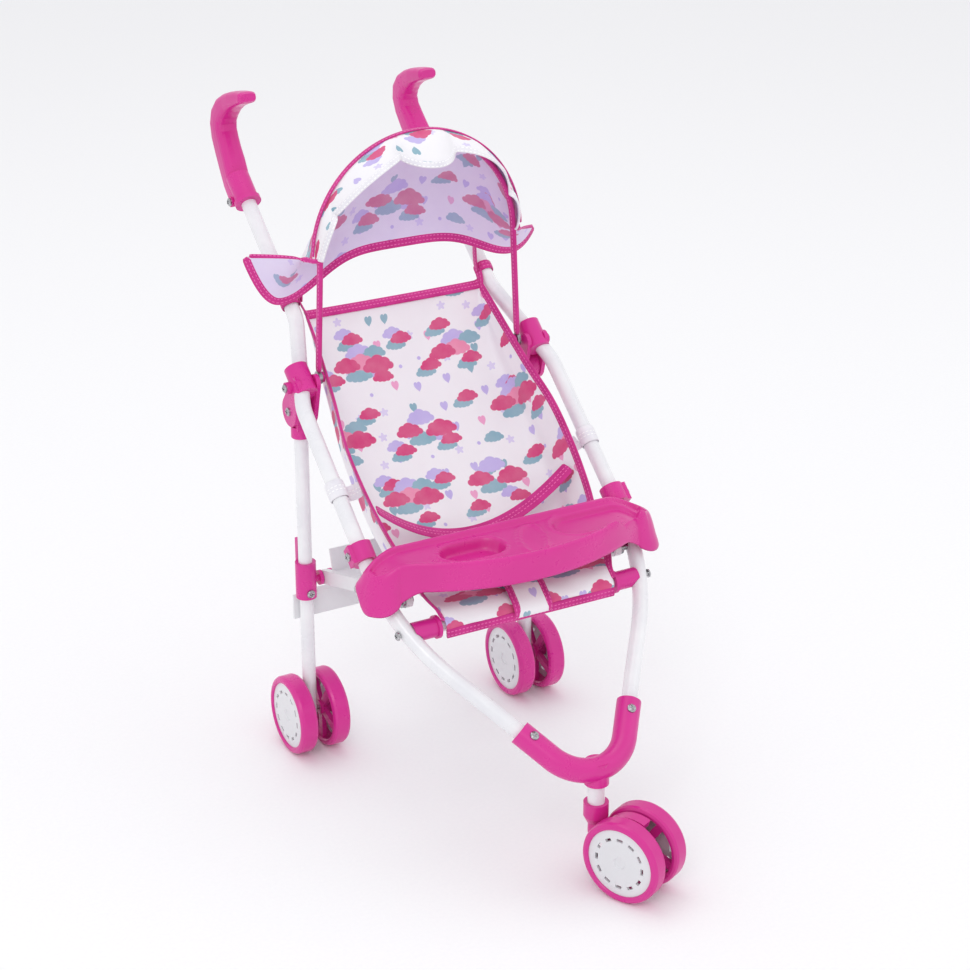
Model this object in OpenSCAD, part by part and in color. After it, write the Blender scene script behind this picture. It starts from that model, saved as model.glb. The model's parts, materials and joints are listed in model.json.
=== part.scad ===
// Three-point folding doll stroller: two raked main tubes that meet in a front bracket over a
// double caster, two rear legs with double wheels that fold forward on side hinges, a two-link
// locking brace, a bumper tray, a fabric seat sling and a fabric canopy on a wire bow.
// Origin: on the floor, midway between the wheels in plan. The stroller faces -Y.

/* [Main frame] */
// Outer diameter of the two main tubes
tube_d = 13; // [11:0.5:14]
// Wall of the main tubes and the rear legs
tube_wall = 1.2; // [0.8:0.1:1.6]
// Rake of the main tubes above the floor
rake = 40.3; // [38:0.1:42]
// Half distance between the main tubes beside the handles
handle_x = 93; // [90:0.5:96]
// Half distance between the main tubes beside the seat
seat_x = 118.5; // [117:0.5:120]
// Height of the rake's reference point, beside the side clamps
rake_z = 338; // [334:1:342]
// Distance of that point behind the middle of the stroller
rake_y = 71; // [68:1:74]

/* [Rear legs] */
// Outer diameter of the rear legs
leg_d = 12; // [11:0.5:12.5]
// Half distance between the rear legs
leg_x = 109; // [108:0.5:110]
// How far the legs stand behind the middle
leg_y = 89; // [87:1:91]
// Height of the fold hinge
hinge_z = 319; // [316:1:322]

/* [Wheels] */
// Radius of every wheel
wheel_r = 35; // [33:0.5:36]
// Width of every wheel
wheel_w = 16; // [14:0.5:16.5]
// Half distance between the two wheels of a pair
pair_x = 15.5; // [15.3:0.1:16]
// Diameter of the wheel axles
axle_d = 4; // [3:0.5:5]

/* [Caster] */
// How far the caster stem stands in front of the middle
stem_y = 211; // [209:1:213]
// Outer diameter of the caster stem
stem_d = 14; // [12:0.5:14]
// Horizontal distance from the stem to the caster's axle
trail = 37; // [36:1:40]
// Way the caster points at rest, measured from +X
swivel = -65; // [-90:5:-40]

/* [Folding brace] */
// Height of the pin on each leg collar that carries the brace
collar_pin_z = 161; // [158:1:164]
// Place of the brace's front pivot along the main tubes
brace_s = 195; // [190:1:198]
// Half distance between the inner faces of the brace arms
brace_x = 88; // [86:0.5:89]

/* [Tray] */
// Half length of the bumper tray
tray_x = 138; // [134:1:140]
// Height of the tray's top at its middle
tray_z = 252; // [250:1:256]
// Thickness of the moulded walls
wall = 2.4; // [2:0.1:3]

/* [Fabric] */
// Thickness of the soft parts
cloth = 2; // [1.5:0.1:2.5]
// Half width of the canopy bow at the canopy's lower edge
bow_x = 90; // [86:1:92]

/* [Hidden] */
$fn = 48;
fit = 0.05;
tight = 0.02;
tube_r = tube_d / 2;
leg_r = leg_d / 2;
screw_r = 1.5;
screw_head_r = 3.6;
screw_head_h = 2.2;
screw_rim_h = screw_head_h * 0.55;
slot_l = 4.2;
slot_w = 0.9;
hinge_pin_d = 5;

// main tube: a straight run, an outward jog, a straight run and a long inward bend
top_s = -214;
jog_s = -72;
jog_angle = 17;
jog_r = 50;
jog_run = (seat_x - handle_x) / sin(jog_angle);
jog_cut = jog_r * tan(jog_angle / 2);
jog_end_s = jog_s + (seat_x - handle_x) / tan(jog_angle);
bend_s = 160;
bend_angle = 32;
bend_r = 198;
bend_end_s = bend_s + bend_r * sin(bend_angle);
bend_end_x = seat_x - bend_r * (1 - cos(bend_angle));
end_s = 346;
tube_path = [
    [jog_s - top_s - jog_cut, jog_angle, jog_r],
    [jog_run - 2 * jog_cut, -jog_angle, jog_r],
    [bend_s - jog_end_s - jog_cut, -bend_angle, bend_r],
    [(end_s - bend_end_s) / cos(bend_angle), 0, 0]];

// front bracket: two arms in line with the tubes, joined by an arc in the same plane
bracket_r = 10;
bracket_s = 325;
bracket_screw_s = bracket_s + 9;
bracket_arc_r = 40;
arc_x = bracket_arc_r * cos(bend_angle);
arc_s = bend_end_s + (bend_end_x - arc_x) / tan(bend_angle);
bracket_x = bend_end_x - (bracket_s - bend_end_s) * tan(bend_angle);
bracket_screw_x = bracket_x - 6;
bracket_arm = (arc_s - bracket_s) / cos(bend_angle);

// wheel pairs
axle_r = axle_d / 2;
hub_r = 6.5;
rim_in_r = wheel_r - 6;
cap_r = rim_in_r - fit;
spokes = 5;
slots = 12;
caster_axle = [trail * cos(swivel), -stem_y + trail * sin(swivel), wheel_r];

// brace links, straight at rest: the rear link from the collar pin, the front link from the tube
hinge = [leg_y, hinge_z];
brace_back = [leg_y, collar_pin_z];
brace_front_at = [rake_y - brace_s * cos(rake), rake_z - brace_s * sin(rake)];
brace_mid = (brace_back + brace_front_at) / 2;
brace_len = norm(brace_front_at - brace_back) / 2;
brace_tilt = atan2(brace_front_at[1] - brace_back[1], brace_back[0] - brace_front_at[0]);
arm_t = 6;
arm_h = 12;

// seat crossbar
bar_s = 223;
bar_r = 5;
bar_yz = [rake_y - bar_s * cos(rake), rake_z - bar_s * sin(rake)];

// ---------- helpers ----------

// sweeps a flat outline along straight runs and bends: each step is [run, turn, bend radius].
// A bend is a hair larger than the runs and laps them, so that the pieces make one solid.
bend_swell = 1.005;
bend_lap = 0.3;
module sweep(steps, i = 0) {
    run = steps[i][0];
    turn = abs(steps[i][1]);
    radius = steps[i][2];
    flip = steps[i][1] < 0 ? 180 : 0;
    linear_extrude(run) children();
    if (turn > 0)
        rotate([0, 0, flip]) {
            lap = bend_lap / radius * 180 / PI;
            translate([radius, 0, run]) rotate([90, 0, 0]) rotate([0, 0, 180 - turn - lap])
                rotate_extrude(angle = turn + 2 * lap) translate([radius, 0]) rotate(180 + flip)
                    scale(bend_swell) children();
            translate([radius * (1 - cos(turn)), 0, run + radius * sin(turn)])
                rotate([0, turn, 0]) rotate([0, 0, -flip])
                    if (i + 1 < len(steps)) sweep(steps, i + 1) children();
        }
}

// local frame of the main tubes: X across, Y square to the tubes and upward, Z down the rake
module on_rake() translate([0, rake_y, rake_z]) rotate([90 + rake, 0, 0]) children();
// the same place as a point
function raked(x, s, h) = [x, rake_y - s * cos(rake) - h * sin(rake),
    rake_z - s * sin(rake) + h * cos(rake)];
// half distance between the tubes at a place down the rake
function tube_x(s) = s < jog_s ? handle_x
    : s < jog_end_s ? handle_x + (s - jog_s) * tan(jog_angle)
    : s < bend_s ? seat_x
    : s < bend_end_s ? seat_x - bend_r + sqrt(pow(bend_r, 2) - pow(s - bend_s, 2))
    : bend_end_x - (s - bend_end_s) * tan(bend_angle);

module both_sides() { children(); mirror([1, 0, 0]) children(); }
module side(s) mirror([s < 0 ? 1 : 0, 0, 0]) children();
module ring_outline(r, hole) difference() { circle(r); circle(hole); }
// cylinder along X from x to x + l
module along_x(x, y, z, l, r) translate([x, y, z]) rotate([0, 90, 0]) cylinder(r = r, h = l);

// pan-head screw: the shaft runs down -Z from the head's seat at the origin
module screw(shaft_r, l) {
    difference() {
        union() {
            cylinder(r = screw_head_r, h = screw_rim_h);
            translate([0, 0, screw_rim_h])
                cylinder(r1 = screw_head_r, r2 = screw_head_r * 0.62, h = screw_head_h - screw_rim_h);
        }
        for (a = [0, 90]) rotate([0, 0, a])
            translate([-slot_l / 2, -slot_w / 2, screw_head_h - 1]) cube([slot_l, slot_w, 2]);
    }
    translate([0, 0, -l]) cylinder(r = shaft_r, h = l + 0.1);
}

// closed sheet between two grids of points, front[i][j] and back[i][j]
module sheet(front, back) {
    n = len(front);
    m = len(front[0]);
    function id(k, i, j) = k * n * m + i * m + j;
    points = concat([for (row = front) each row], [for (row = back) each row]);
    faces = concat(
        [for (i = [0:n - 2], j = [0:m - 2])
            each [[id(0, i, j), id(0, i + 1, j), id(0, i + 1, j + 1)],
                [id(0, i, j), id(0, i + 1, j + 1), id(0, i, j + 1)],
                [id(1, i, j), id(1, i + 1, j + 1), id(1, i + 1, j)],
                [id(1, i, j), id(1, i, j + 1), id(1, i + 1, j + 1)]]],
        [for (i = [0:n - 2])
            each [[id(0, i, 0), id(1, i, 0), id(1, i + 1, 0)],
                [id(0, i, 0), id(1, i + 1, 0), id(0, i + 1, 0)],
                [id(0, i, m - 1), id(1, i + 1, m - 1), id(1, i, m - 1)],
                [id(0, i, m - 1), id(0, i + 1, m - 1), id(1, i + 1, m - 1)]]],
        [for (j = [0:m - 2])
            each [[id(0, 0, j), id(1, 0, j + 1), id(1, 0, j)],
                [id(0, 0, j), id(0, 0, j + 1), id(1, 0, j + 1)],
                [id(0, n - 1, j), id(1, n - 1, j), id(1, n - 1, j + 1)],
                [id(0, n - 1, j), id(1, n - 1, j + 1), id(0, n - 1, j + 1)]]]);
    polyhedron(points, faces, convexity = 6);
}

// ---------- main frame ----------

module main_tube() {
    color("whitesmoke") difference() {
        on_rake() translate([handle_x, 0, top_s]) sweep(tube_path) ring_outline(tube_r, tube_r - tube_wall);
        // bores for the crossbar screws and the bracket screws
        translate([0, bar_yz[0], bar_yz[1]]) rotate([0, 90, 0]) cylinder(r = 2 + fit, h = 140);
        on_rake() translate([bracket_screw_x, 0, bracket_screw_s]) rotate([90, 0, 0])
            cylinder(r = screw_r + fit, h = 30, center = true);
    }
}
module main_tube_left() side(-1) main_tube();
module main_tube_right() side(1) main_tube();

// hook handle: a cup over the tube's end and a bar that swells, curls back and ends forward.
// Each section: distance behind the middle, height, half depth, half width, lean of the section
cup_s = -196;
hook_sections = [
    [230, 462, 9, 10, 48], [242, 474, 11, 10.5, 47], [252, 486, 11.5, 10.5, 50], [262, 497, 12, 10, 62],
    [269, 506, 12.5, 10, 80], [273.5, 515, 12, 10, 100], [273, 524, 11, 10, 122], [267, 532, 10, 10, 145],
    [258, 538.5, 8.5, 9.5, 160], [248, 543.5, 7, 9.5, 166], [237, 547, 6, 9, 168], [227, 549.5, 5, 8.5, 170],
    [223.5, 550.3, 3.4, 7, 171]];
hook_lean_x = 7;
hook_sides = 24;
// rounded rectangle around a section's middle
function hook_ring(h) = [for (k = [0:hook_sides - 1]) let (a = k * 360 / hook_sides,
    u = sign(cos(a)) * pow(abs(cos(a)), 0.6) * h[2], w = sign(sin(a)) * pow(abs(sin(a)), 0.6) * h[3])
    [handle_x - hook_lean_x * (h[1] - 462) / 88 + w, h[0] + u * sin(h[4]), h[1] - u * cos(h[4])]];
module hook_bar() {
    rings = [for (h = hook_sections) hook_ring(h)];
    n = len(rings);
    function at(i, k) = i * hook_sides + k % hook_sides;
    polyhedron([for (ring = rings) each ring],
        concat([[for (k = [hook_sides - 1:-1:0]) k]],
            [[for (k = [0:hook_sides - 1]) at(n - 1, k)]],
            [for (i = [0:n - 2], k = [0:hook_sides - 1])
                each [[at(i, k), at(i + 1, k + 1), at(i + 1, k)], [at(i, k), at(i, k + 1), at(i + 1, k + 1)]]]),
        convexity = 4);
}
module handle() {
    color("mediumvioletred") difference() {
        union() {
            on_rake() translate([handle_x, 0, cup_s - 22]) cylinder(r = tube_r + 3.6, h = 28);
            on_rake() translate([handle_x, 0, cup_s + 2]) cylinder(r = tube_r + 5, h = 4);
            // boss for the cross screw, behind the cup
            on_rake() translate([handle_x - 11, -tube_r - 3, cup_s - 4]) rotate([0, 90, 0])
                cylinder(r = 4.5, h = 22);
            hook_bar();
        }
        on_rake() translate([handle_x, 0, top_s]) cylinder(r = tube_r + tight, h = 40);
        on_rake() translate([handle_x - 12, -tube_r - 3, cup_s - 4]) rotate([0, 90, 0])
            cylinder(r = screw_r + fit, h = 30);
    }
}
module handle_left() side(-1) handle();
module handle_right() side(1) handle();
module handle_screws() color("silver") both_sides() on_rake()
    translate([handle_x + 11, -tube_r - 3, cup_s - 4]) rotate([0, 90, 0]) screw(screw_r, 17);

// side clamp: a sleeve on the main tube with two cheeks that carry the fold hinge
cheek_r = 13;
cheek_t = 3.5;
cap_w = 13;
clamp_s = -14;
clamp_l = 26;
module side_clamp() {
    color("mediumvioletred") difference() {
        union() {
            on_rake() translate([tube_x(clamp_s), 0, clamp_s - clamp_l / 2])
                cylinder(r = tube_r + 3.5, h = clamp_l);
            for (x = [leg_x - cap_w / 2 - 0.4 - cheek_t, leg_x + cap_w / 2 + 0.4])
                hull() {
                    along_x(x, hinge[0], hinge[1], cheek_t, cheek_r);
                    along_x(x, leg_y - 13, hinge[1] + 27, cheek_t, 7);
                }
            // stub that the canopy bow turns on
            along_x(bow_eye_x - 1, bow_y, bow_z, 12, bow_pin_r);
            along_x(bow_eye_x - 2.4, bow_y, bow_z, 1.8, bow_pin_r + 2);
            // boss for the clamp screw
            along_x(tube_x(clamp_s) + 6, leg_y - 7, rake_z + 5, 8, 5);
        }
        on_rake() translate([tube_x(clamp_s) - 20 * tan(jog_angle), 0, clamp_s - 20])
            rotate([0, jog_angle, 0]) cylinder(r = tube_r + fit, h = 60);
        along_x(leg_x - 20, hinge[0], hinge[1], 40, hinge_pin_d / 2);
        along_x(tube_x(clamp_s), leg_y - 7, rake_z + 5, 30, 1.5);
    }
}
module side_clamp_left() side(-1) side_clamp();
module side_clamp_right() side(1) side_clamp();
module clamp_screws() color("silver") both_sides()
    translate([tube_x(clamp_s) + 14, leg_y - 7, rake_z + 5]) rotate([0, 90, 0]) screw(screw_r, 6);
module hinge_screws() color("silver") both_sides()
    translate([leg_x + cap_w / 2 + 0.4 + cheek_t, hinge[0], hinge[1]]) rotate([0, 90, 0])
        screw(hinge_pin_d / 2, cap_w + 0.8 + 2 * cheek_t);

module front_bracket() {
    color("mediumvioletred") difference() {
        union() {
            on_rake() translate([bracket_x, 0, bracket_s]) rotate([0, -bend_angle, 0])
                sweep([[bracket_arm, -(180 - 2 * bend_angle), bracket_arc_r], [bracket_arm, 0, 0]])
                    circle(bracket_r);
            // socket for the stem
            translate([0, -stem_y, stem_top - 14]) cylinder(r = stem_d / 2 + 3, h = 20);
        }
        both_sides() on_rake() translate([bracket_x, 0, bracket_s]) rotate([0, -bend_angle, 0])
            translate([0, 0, -1]) cylinder(r = tube_r + tight, h = 28);
        // holes and flat seats of the screws
        both_sides() on_rake() translate([bracket_screw_x, 0, bracket_screw_s]) rotate([-90, 0, 0]) {
            cylinder(r = screw_r + fit, h = 30, center = true);
            translate([0, 0, bracket_r - 0.6]) cylinder(r = screw_head_r + 0.3, h = 8);
        }
        translate([0, -stem_y, stem_top - 20]) cylinder(r = stem_d / 2 + tight, h = 20);
    }
}
stem_top = 99;
stem_low = 64;
module bracket_screws() color("silver") both_sides() on_rake()
    translate([bracket_screw_x, bracket_r - 0.6, bracket_screw_s]) rotate([-90, 0, 0]) screw(screw_r, 16);
pin_r = 3;
module caster_stem() color("whitesmoke") translate([0, -stem_y, 0]) {
    translate([0, 0, stem_low]) cylinder(r = stem_d / 2, h = stem_top - stem_low);
    translate([0, 0, stem_low - 18]) cylinder(r = pin_r, h = 18.5);
}

bar_end = tube_x(bar_s) - tube_r - 0.4;
module seat_crossbar() color("whitesmoke")
    along_x(-bar_end + 4, bar_yz[0], bar_yz[1], 2 * bar_end - 8, bar_r);
module crossbar_sleeves() color("mediumvioletred") both_sides() difference() {
    union() {
        along_x(bar_end - 18, bar_yz[0], bar_yz[1], 21, bar_r + 3);
        along_x(bar_end - 20, bar_yz[0], bar_yz[1], 3, bar_r + 4.5);
    }
    along_x(bar_end - 21, bar_yz[0], bar_yz[1], 17, bar_r + tight);
    along_x(bar_end - 5, bar_yz[0], bar_yz[1], 16, 2 + fit);
    // saddle that fits the bent tube
    on_rake() translate([tube_x(bar_s), 0, bar_s]) rotate([0, -asin((bar_s - bend_s) / bend_r), 0])
        cylinder(r = tube_r + 0.65, h = 40, center = true);
}
module crossbar_screws() color("silver") both_sides()
    translate([tube_x(bar_s) + tube_r + 1.8, bar_yz[0], bar_yz[1]]) rotate([0, 90, 0]) screw(2, 17.8);

// ---------- tray ----------

tray_back = -60;
tray_end_r = 18;
tray_bow = 34;
tray_nose = -130;
tray_skirt = 26;
wing_drop = 16;
// plan of the tray: a straight back edge, round ends and a bowed front
nose_r = (pow(tray_x - tray_end_r, 2) + pow(tray_bow, 2)) / (2 * tray_bow);
function tray_plan(inset) = concat(
    [for (a = [-1:0.1:1]) let (x = a * (tray_x - 16 - inset * 0.6))
        [x, tray_nose + inset + nose_r - sqrt(nose_r * nose_r - x * x)]],
    [for (a = [-60:15:90])
        [tray_x - tray_end_r + (tray_end_r - inset) * cos(a),
            tray_back - tray_end_r + (tray_end_r - inset) * sin(a)]],
    [for (a = [90:15:240])
        [-tray_x + tray_end_r + (tray_end_r - inset) * cos(a),
            tray_back - tray_end_r + (tray_end_r - inset) * sin(a)]]);
module tray_slab(inset, z, h) translate([0, 0, z]) linear_extrude(h) polygon(tray_plan(inset));
cup_x = -44;
cup_y = -92;
cup_deep = 15;
cup = [19, 20];
dish_x = 72;
dish_y = cup_y + 6;
dish_deep = 7;
dish = [22, 26];
well_cut = 20;
arch_s = 190;
back_gap = 99;
module stadium(r, gap) {
    for (x = [-gap / 2, gap / 2]) translate([x, 0]) circle(r);
    square([gap, 2 * r], center = true);
}
module bumper_tray() {
    color("mediumvioletred") difference() {
        union() {
            tray_slab(0, tray_z - tray_skirt, tray_skirt);
            // end wings that reach down beside the main tubes
            intersection() {
                tray_slab(0, tray_z - tray_skirt - wing_drop, wing_drop + 1);
                both_sides() translate([100, tray_nose - 14, 0]) cube([60, 70, 300]);
            }
        }
        difference() {
            tray_slab(wall, tray_z - tray_skirt - wing_drop - 1, tray_skirt + wing_drop + 1 - wall);
            // walls of the cup well and of the shallow dish
            translate([cup_x, cup_y, tray_z - cup_deep]) linear_extrude(well_cut) stadium(cup[0], cup[1]);
            translate([dish_x, dish_y, tray_z - dish_deep]) linear_extrude(well_cut)
                stadium(dish[0], dish[1]);
        }
        translate([cup_x, cup_y, tray_z - cup_deep + wall]) linear_extrude(well_cut)
            stadium(cup[0] - wall, cup[1]);
        translate([dish_x, dish_y, tray_z - dish_deep + wall]) linear_extrude(well_cut)
            stadium(dish[0] - wall, dish[1]);
        // the back wall is shallow above the seat
        translate([-back_gap, tray_back - 20, tray_z - 60]) cube([2 * back_gap, 40, 51]);
        // arches over the tubes
        both_sides() on_rake() translate([tube_x(arch_s), 0, arch_s - 70])
            cylinder(r = tube_r + 5.5, h = 200);
    }
}
sleeve_s = 182;
sleeve_l = 16;
sleeve_gap = 0.55;
sleeve_tilt = asin((sleeve_s - bend_s) / bend_r);
module tray_sleeves() color("mediumvioletred") both_sides() on_rake()
    translate([tube_x(sleeve_s), 0, sleeve_s]) rotate([0, -sleeve_tilt, 0])
    translate([0, 0, -sleeve_l / 2]) difference() {
        union() {
            cylinder(r = tube_r + 3, h = sleeve_l);
            translate([-4, 0, 2]) cube([8, 16, 12]);
        }
        translate([0, 0, -1]) cylinder(r = tube_r + sleeve_gap, h = sleeve_l + 2);
    }
clip_s = 148;
module tube_clips() color("mediumvioletred") both_sides() on_rake()
    translate([seat_x, 0, clip_s - 8]) difference() {
        union() {
            cylinder(r = tube_r + 3.5, h = 16);
            translate([2, -5, 0]) cube([tube_r + 3.5, 10, 16]);
        }
        translate([0, 0, -1]) cylinder(r = tube_r + tight, h = 18);
        translate([0, 0, 8]) rotate([0, 90, 0]) cylinder(r = screw_r + fit, h = 30);
    }
module clip_screws() color("silver") both_sides() on_rake()
    translate([seat_x + tube_r + 5.5, 0, clip_s]) rotate([0, 90, 0]) screw(screw_r, 5);

// ---------- rear legs ----------

axle_z = wheel_r;
crossbar_z = 134.5;
crossbar_screw_gap = 6;
crossbar_screw_z = [crossbar_z - crossbar_screw_gap, crossbar_z + crossbar_screw_gap];
module rear_leg() color("whitesmoke") difference() {
    translate([leg_x, leg_y, axle_z - 9]) cylinder(r = leg_r, h = hinge_z - axle_z - 4);
    translate([leg_x, leg_y, axle_z + 9]) cylinder(r = leg_r - tube_wall, h = hinge_z);
    along_x(leg_x - 20, leg_y, axle_z, 40, axle_r + fit);
    for (z = crossbar_screw_z)
        translate([leg_x, leg_y, z]) rotate([-90, 0, 0]) cylinder(r = screw_r + fit, h = 20);
}
module rear_leg_left() side(-1) rear_leg();
module rear_leg_right() side(1) rear_leg();
module leg_caps() color("mediumvioletred") both_sides() difference() {
    union() {
        along_x(leg_x - cap_w / 2, leg_y, hinge_z, cap_w, 11.5);
        translate([leg_x, leg_y, hinge_z - 24]) cylinder(r = leg_r + 2.4, h = 10);
        translate([leg_x - cap_w / 2, leg_y - 8, hinge_z - 16]) cube([cap_w, 16, 14]);
    }
    along_x(leg_x - 20, leg_y, hinge_z, 40, hinge_pin_d / 2 + fit);
    translate([leg_x, leg_y, hinge_z - 25]) cylinder(r = leg_r + tight, h = 12.02);
}
collar_low = 146;
collar_l = 33;
module leg_collar() color("mediumvioletred") difference() {
    union() {
        translate([leg_x, leg_y, collar_low]) cylinder(r = leg_r + 3, h = collar_l);
        // thumb fin behind the leg
        translate([leg_x - 4, leg_y + leg_r + 1, collar_low]) cube([8, 4.5, 52]);
        // flanged pin that carries the brace
        along_x(brace_x + 0.6, leg_y, collar_pin_z, leg_x - brace_x - 6, 3);
        along_x(brace_x - 2.4, leg_y, collar_pin_z, 3, 3);
        along_x(brace_x + arm_t + 0.4, leg_y, collar_pin_z, 3, 6.5);
        along_x(brace_x - 3.4, leg_y, collar_pin_z, 3, 6);
    }
    translate([leg_x, leg_y, 100]) cylinder(r = leg_r + tight, h = 120);
    translate([leg_x, leg_y - leg_r, collar_low + 6]) rotate([90, 0, 0]) cylinder(r = screw_r, h = 9);
}
module leg_collar_left() side(-1) leg_collar();
module leg_collar_right() side(1) leg_collar();
module collar_screws() color("silver") both_sides()
    translate([leg_x, leg_y - leg_r - 3.02, collar_low + 6]) rotate([90, 0, 0]) screw(screw_r, 2.7);

// rear crossbar: a moulded channel behind the legs that bows backward between them
module rear_crossbar() color("whitesmoke") difference() {
    union() {
        translate([-leg_x - 9, leg_y + leg_r + tight, crossbar_z - 11]) cube([2 * leg_x + 18, 3, 22]);
        translate([-leg_x + 16, leg_y + leg_r + 2.5, crossbar_z - 11]) cube([2 * leg_x - 32, 5, 3]);
        translate([-leg_x + 16, leg_y + leg_r + 2.5, crossbar_z + 8]) cube([2 * leg_x - 32, 5, 3]);
    }
    both_sides() for (z = crossbar_screw_z)
        translate([leg_x, leg_y, z]) rotate([-90, 0, 0]) cylinder(r = screw_r + fit, h = 20);
}
module rear_crossbar_screws() color("silver") both_sides() for (z = crossbar_screw_z)
    translate([leg_x, leg_y + leg_r + 3.1, z]) rotate([-90, 0, 0]) screw(screw_r, 5);
axle_half = pair_x + 3;
module rear_axles() color("silver") both_sides()
    along_x(leg_x - axle_half, leg_y, axle_z, 2 * axle_half, axle_r);

// ---------- folding brace ----------

module brace_arm(x, t) translate([x, 0, 0]) rotate([0, 90, 0]) hull() {
    cylinder(r = arm_h / 2, h = t);
    translate([0, brace_len, 0]) cylinder(r = arm_h / 2, h = t);
}
// rear link: two arms from the collar pins, joined by a raised and bowed back wall
module brace_rear_link() color("whitesmoke")
    translate([0, brace_back[0], brace_back[1]]) rotate([-brace_tilt, 0, 0]) {
        difference() {
            both_sides() mirror([0, 1, 0]) brace_arm(brace_x, arm_t);
            along_x(-120, 0, 0, 240, 3 + fit);
        }
        // back wall and floor
        translate([-brace_x - 1, -16, 3]) cube([2 * brace_x + 2, 3, 22]);
        translate([-brace_x - 1, -60, 3]) cube([2 * brace_x + 2, 45, 2.4]);
    }
// front link: two arms from the main tubes, joined by a tie
front_x = brace_x + arm_t + 0.8;
module brace_front_link() color("whitesmoke")
    translate([0, brace_front_at[0], brace_front_at[1]]) rotate([-brace_tilt, 0, 0]) {
        difference() {
            both_sides() brace_arm(front_x, arm_t);
            along_x(-120, 0, 0, 240, 3 + fit);
        }
        along_x(-front_x - 1, brace_len - 24, -2, 2 * front_x + 2, 3.5);
    }
module brace_rivets() color("silver")
    translate([0, brace_mid[0], brace_mid[1]]) both_sides()
        translate([front_x + arm_t - 0.2, 0, 0]) rotate([0, 90, 0]) cylinder(r1 = 4, r2 = 2.6, h = 2);
pivot_end = tube_x(brace_s) - tube_r + 1;
module brace_pivot_pins() color("silver") both_sides() {
    along_x(front_x - 2, brace_front_at[0], brace_front_at[1], pivot_end - front_x + 2, 3);
    along_x(front_x + arm_t + 0.6, brace_front_at[0], brace_front_at[1], 2, 5.5);
}

// ---------- canopy ----------

bow_y = rake_y - clamp_s * cos(rake);
bow_z = rake_z - clamp_s * sin(rake);
bow_eye_x = 93;
bow_pin_r = 2.5;
bow_leg_z = 452;
bow_foot_x = bow_eye_x + 1.5;
bow_lean = atan2(bow_foot_x - bow_x, bow_leg_z - bow_z);
bow_leg = norm([bow_foot_x - bow_x, bow_leg_z - bow_z]);
bow_arc_r = bow_x / cos(bow_lean);
bow_mid_z = bow_leg_z - bow_arc_r * sin(bow_lean);
bow_path = [[bow_leg, 180 - 2 * bow_lean, bow_arc_r], [bow_leg, 0, 0]];
wire_r = 1.6;
casing_t = 1.8;
module on_bow() translate([bow_foot_x, bow_y, bow_z]) rotate([0, -bow_lean, 0]) rotate([0, 0, 180])
    children();
module canopy_bow() color("silver") difference() {
    union() {
        on_bow() sweep(bow_path) circle(wire_r);
        both_sides() along_x(bow_eye_x, bow_y, bow_z, 3, bow_pin_r + 3);
    }
    both_sides() along_x(bow_eye_x - 1, bow_y, bow_z, 5, bow_pin_r + fit);
}
module bow_binding() color("mediumvioletred") difference() {
    on_bow() sweep(bow_path) circle(wire_r + casing_t);
    on_bow() sweep(bow_path) circle(wire_r + tight);
    both_sides() along_x(80, bow_y, bow_z, 30, bow_pin_r + 3.8);
}

// canopy sheet: angle a runs across from -90 to 90, t from -1 at the visor to 0 over the bow and
// 1 at the rear rim, whose ends flare outward as flaps
canopy_gap = 2.9;
canopy_r = bow_arc_r + wire_r + casing_t + canopy_gap;
function over_bow(a) = [canopy_r * sin(a), bow_y, bow_mid_z + canopy_r * cos(a)];
function flare(a) = abs(a) / 90;
flap_x = 134;
rim_z = 440;
rim_dip = 30;
flap_lift = 20;
flap_from = 0.85;
function rear_rim(a) = [sign(a) * flap_x * pow(flare(a), 0.9), bow_y + 34.3 + 10 * pow(flare(a), 6),
    rim_z - rim_dip * pow(sin(90 * min(1, flare(a) / 0.8)), 4)
        + flap_lift * pow(max(0, (flare(a) - flap_from) / (1 - flap_from)), 2)];
function canopy_point(a, t) = let (b = over_bow(a), r = rear_rim(a))
    t < 0 ? [b[0] * (1 + 0.03 * t), b[1] + t * (10 + 34 * cos(a)), b[2] + (8 * t - 14 * t * t) * cos(a)]
    : [b[0] + (r[0] - b[0]) * pow(t, 1.6),
        b[1] + (r[1] - b[1]) * t + 18 * sin(180 * t) * cos(a),
        b[2] + (r[2] - b[2]) * pow(t, 0.9)];
canopy_rows = [-1, -0.66, -0.33, 0, 0.15, 0.3, 0.45, 0.6, 0.75, 0.88, 1];
canopy_grid = [for (t = canopy_rows) [for (a = [-90:7.5:90]) canopy_point(a, t)]];

// the same grid moved by d along its own normals
function unit(v) = v / norm(v);
function moved(g, d) = let (n = len(g) - 1, m = len(g[0]) - 1)
    [for (i = [0:n]) [for (j = [0:m]) g[i][j] + d * unit(cross(
        g[min(i + 1, n)][j] - g[max(i - 1, 0)][j], g[i][min(j + 1, m)] - g[i][max(j - 1, 0)]))]];
module canopy() color("thistle") sheet(moved(canopy_grid, -cloth), canopy_grid);

// ---------- seat ----------

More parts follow.
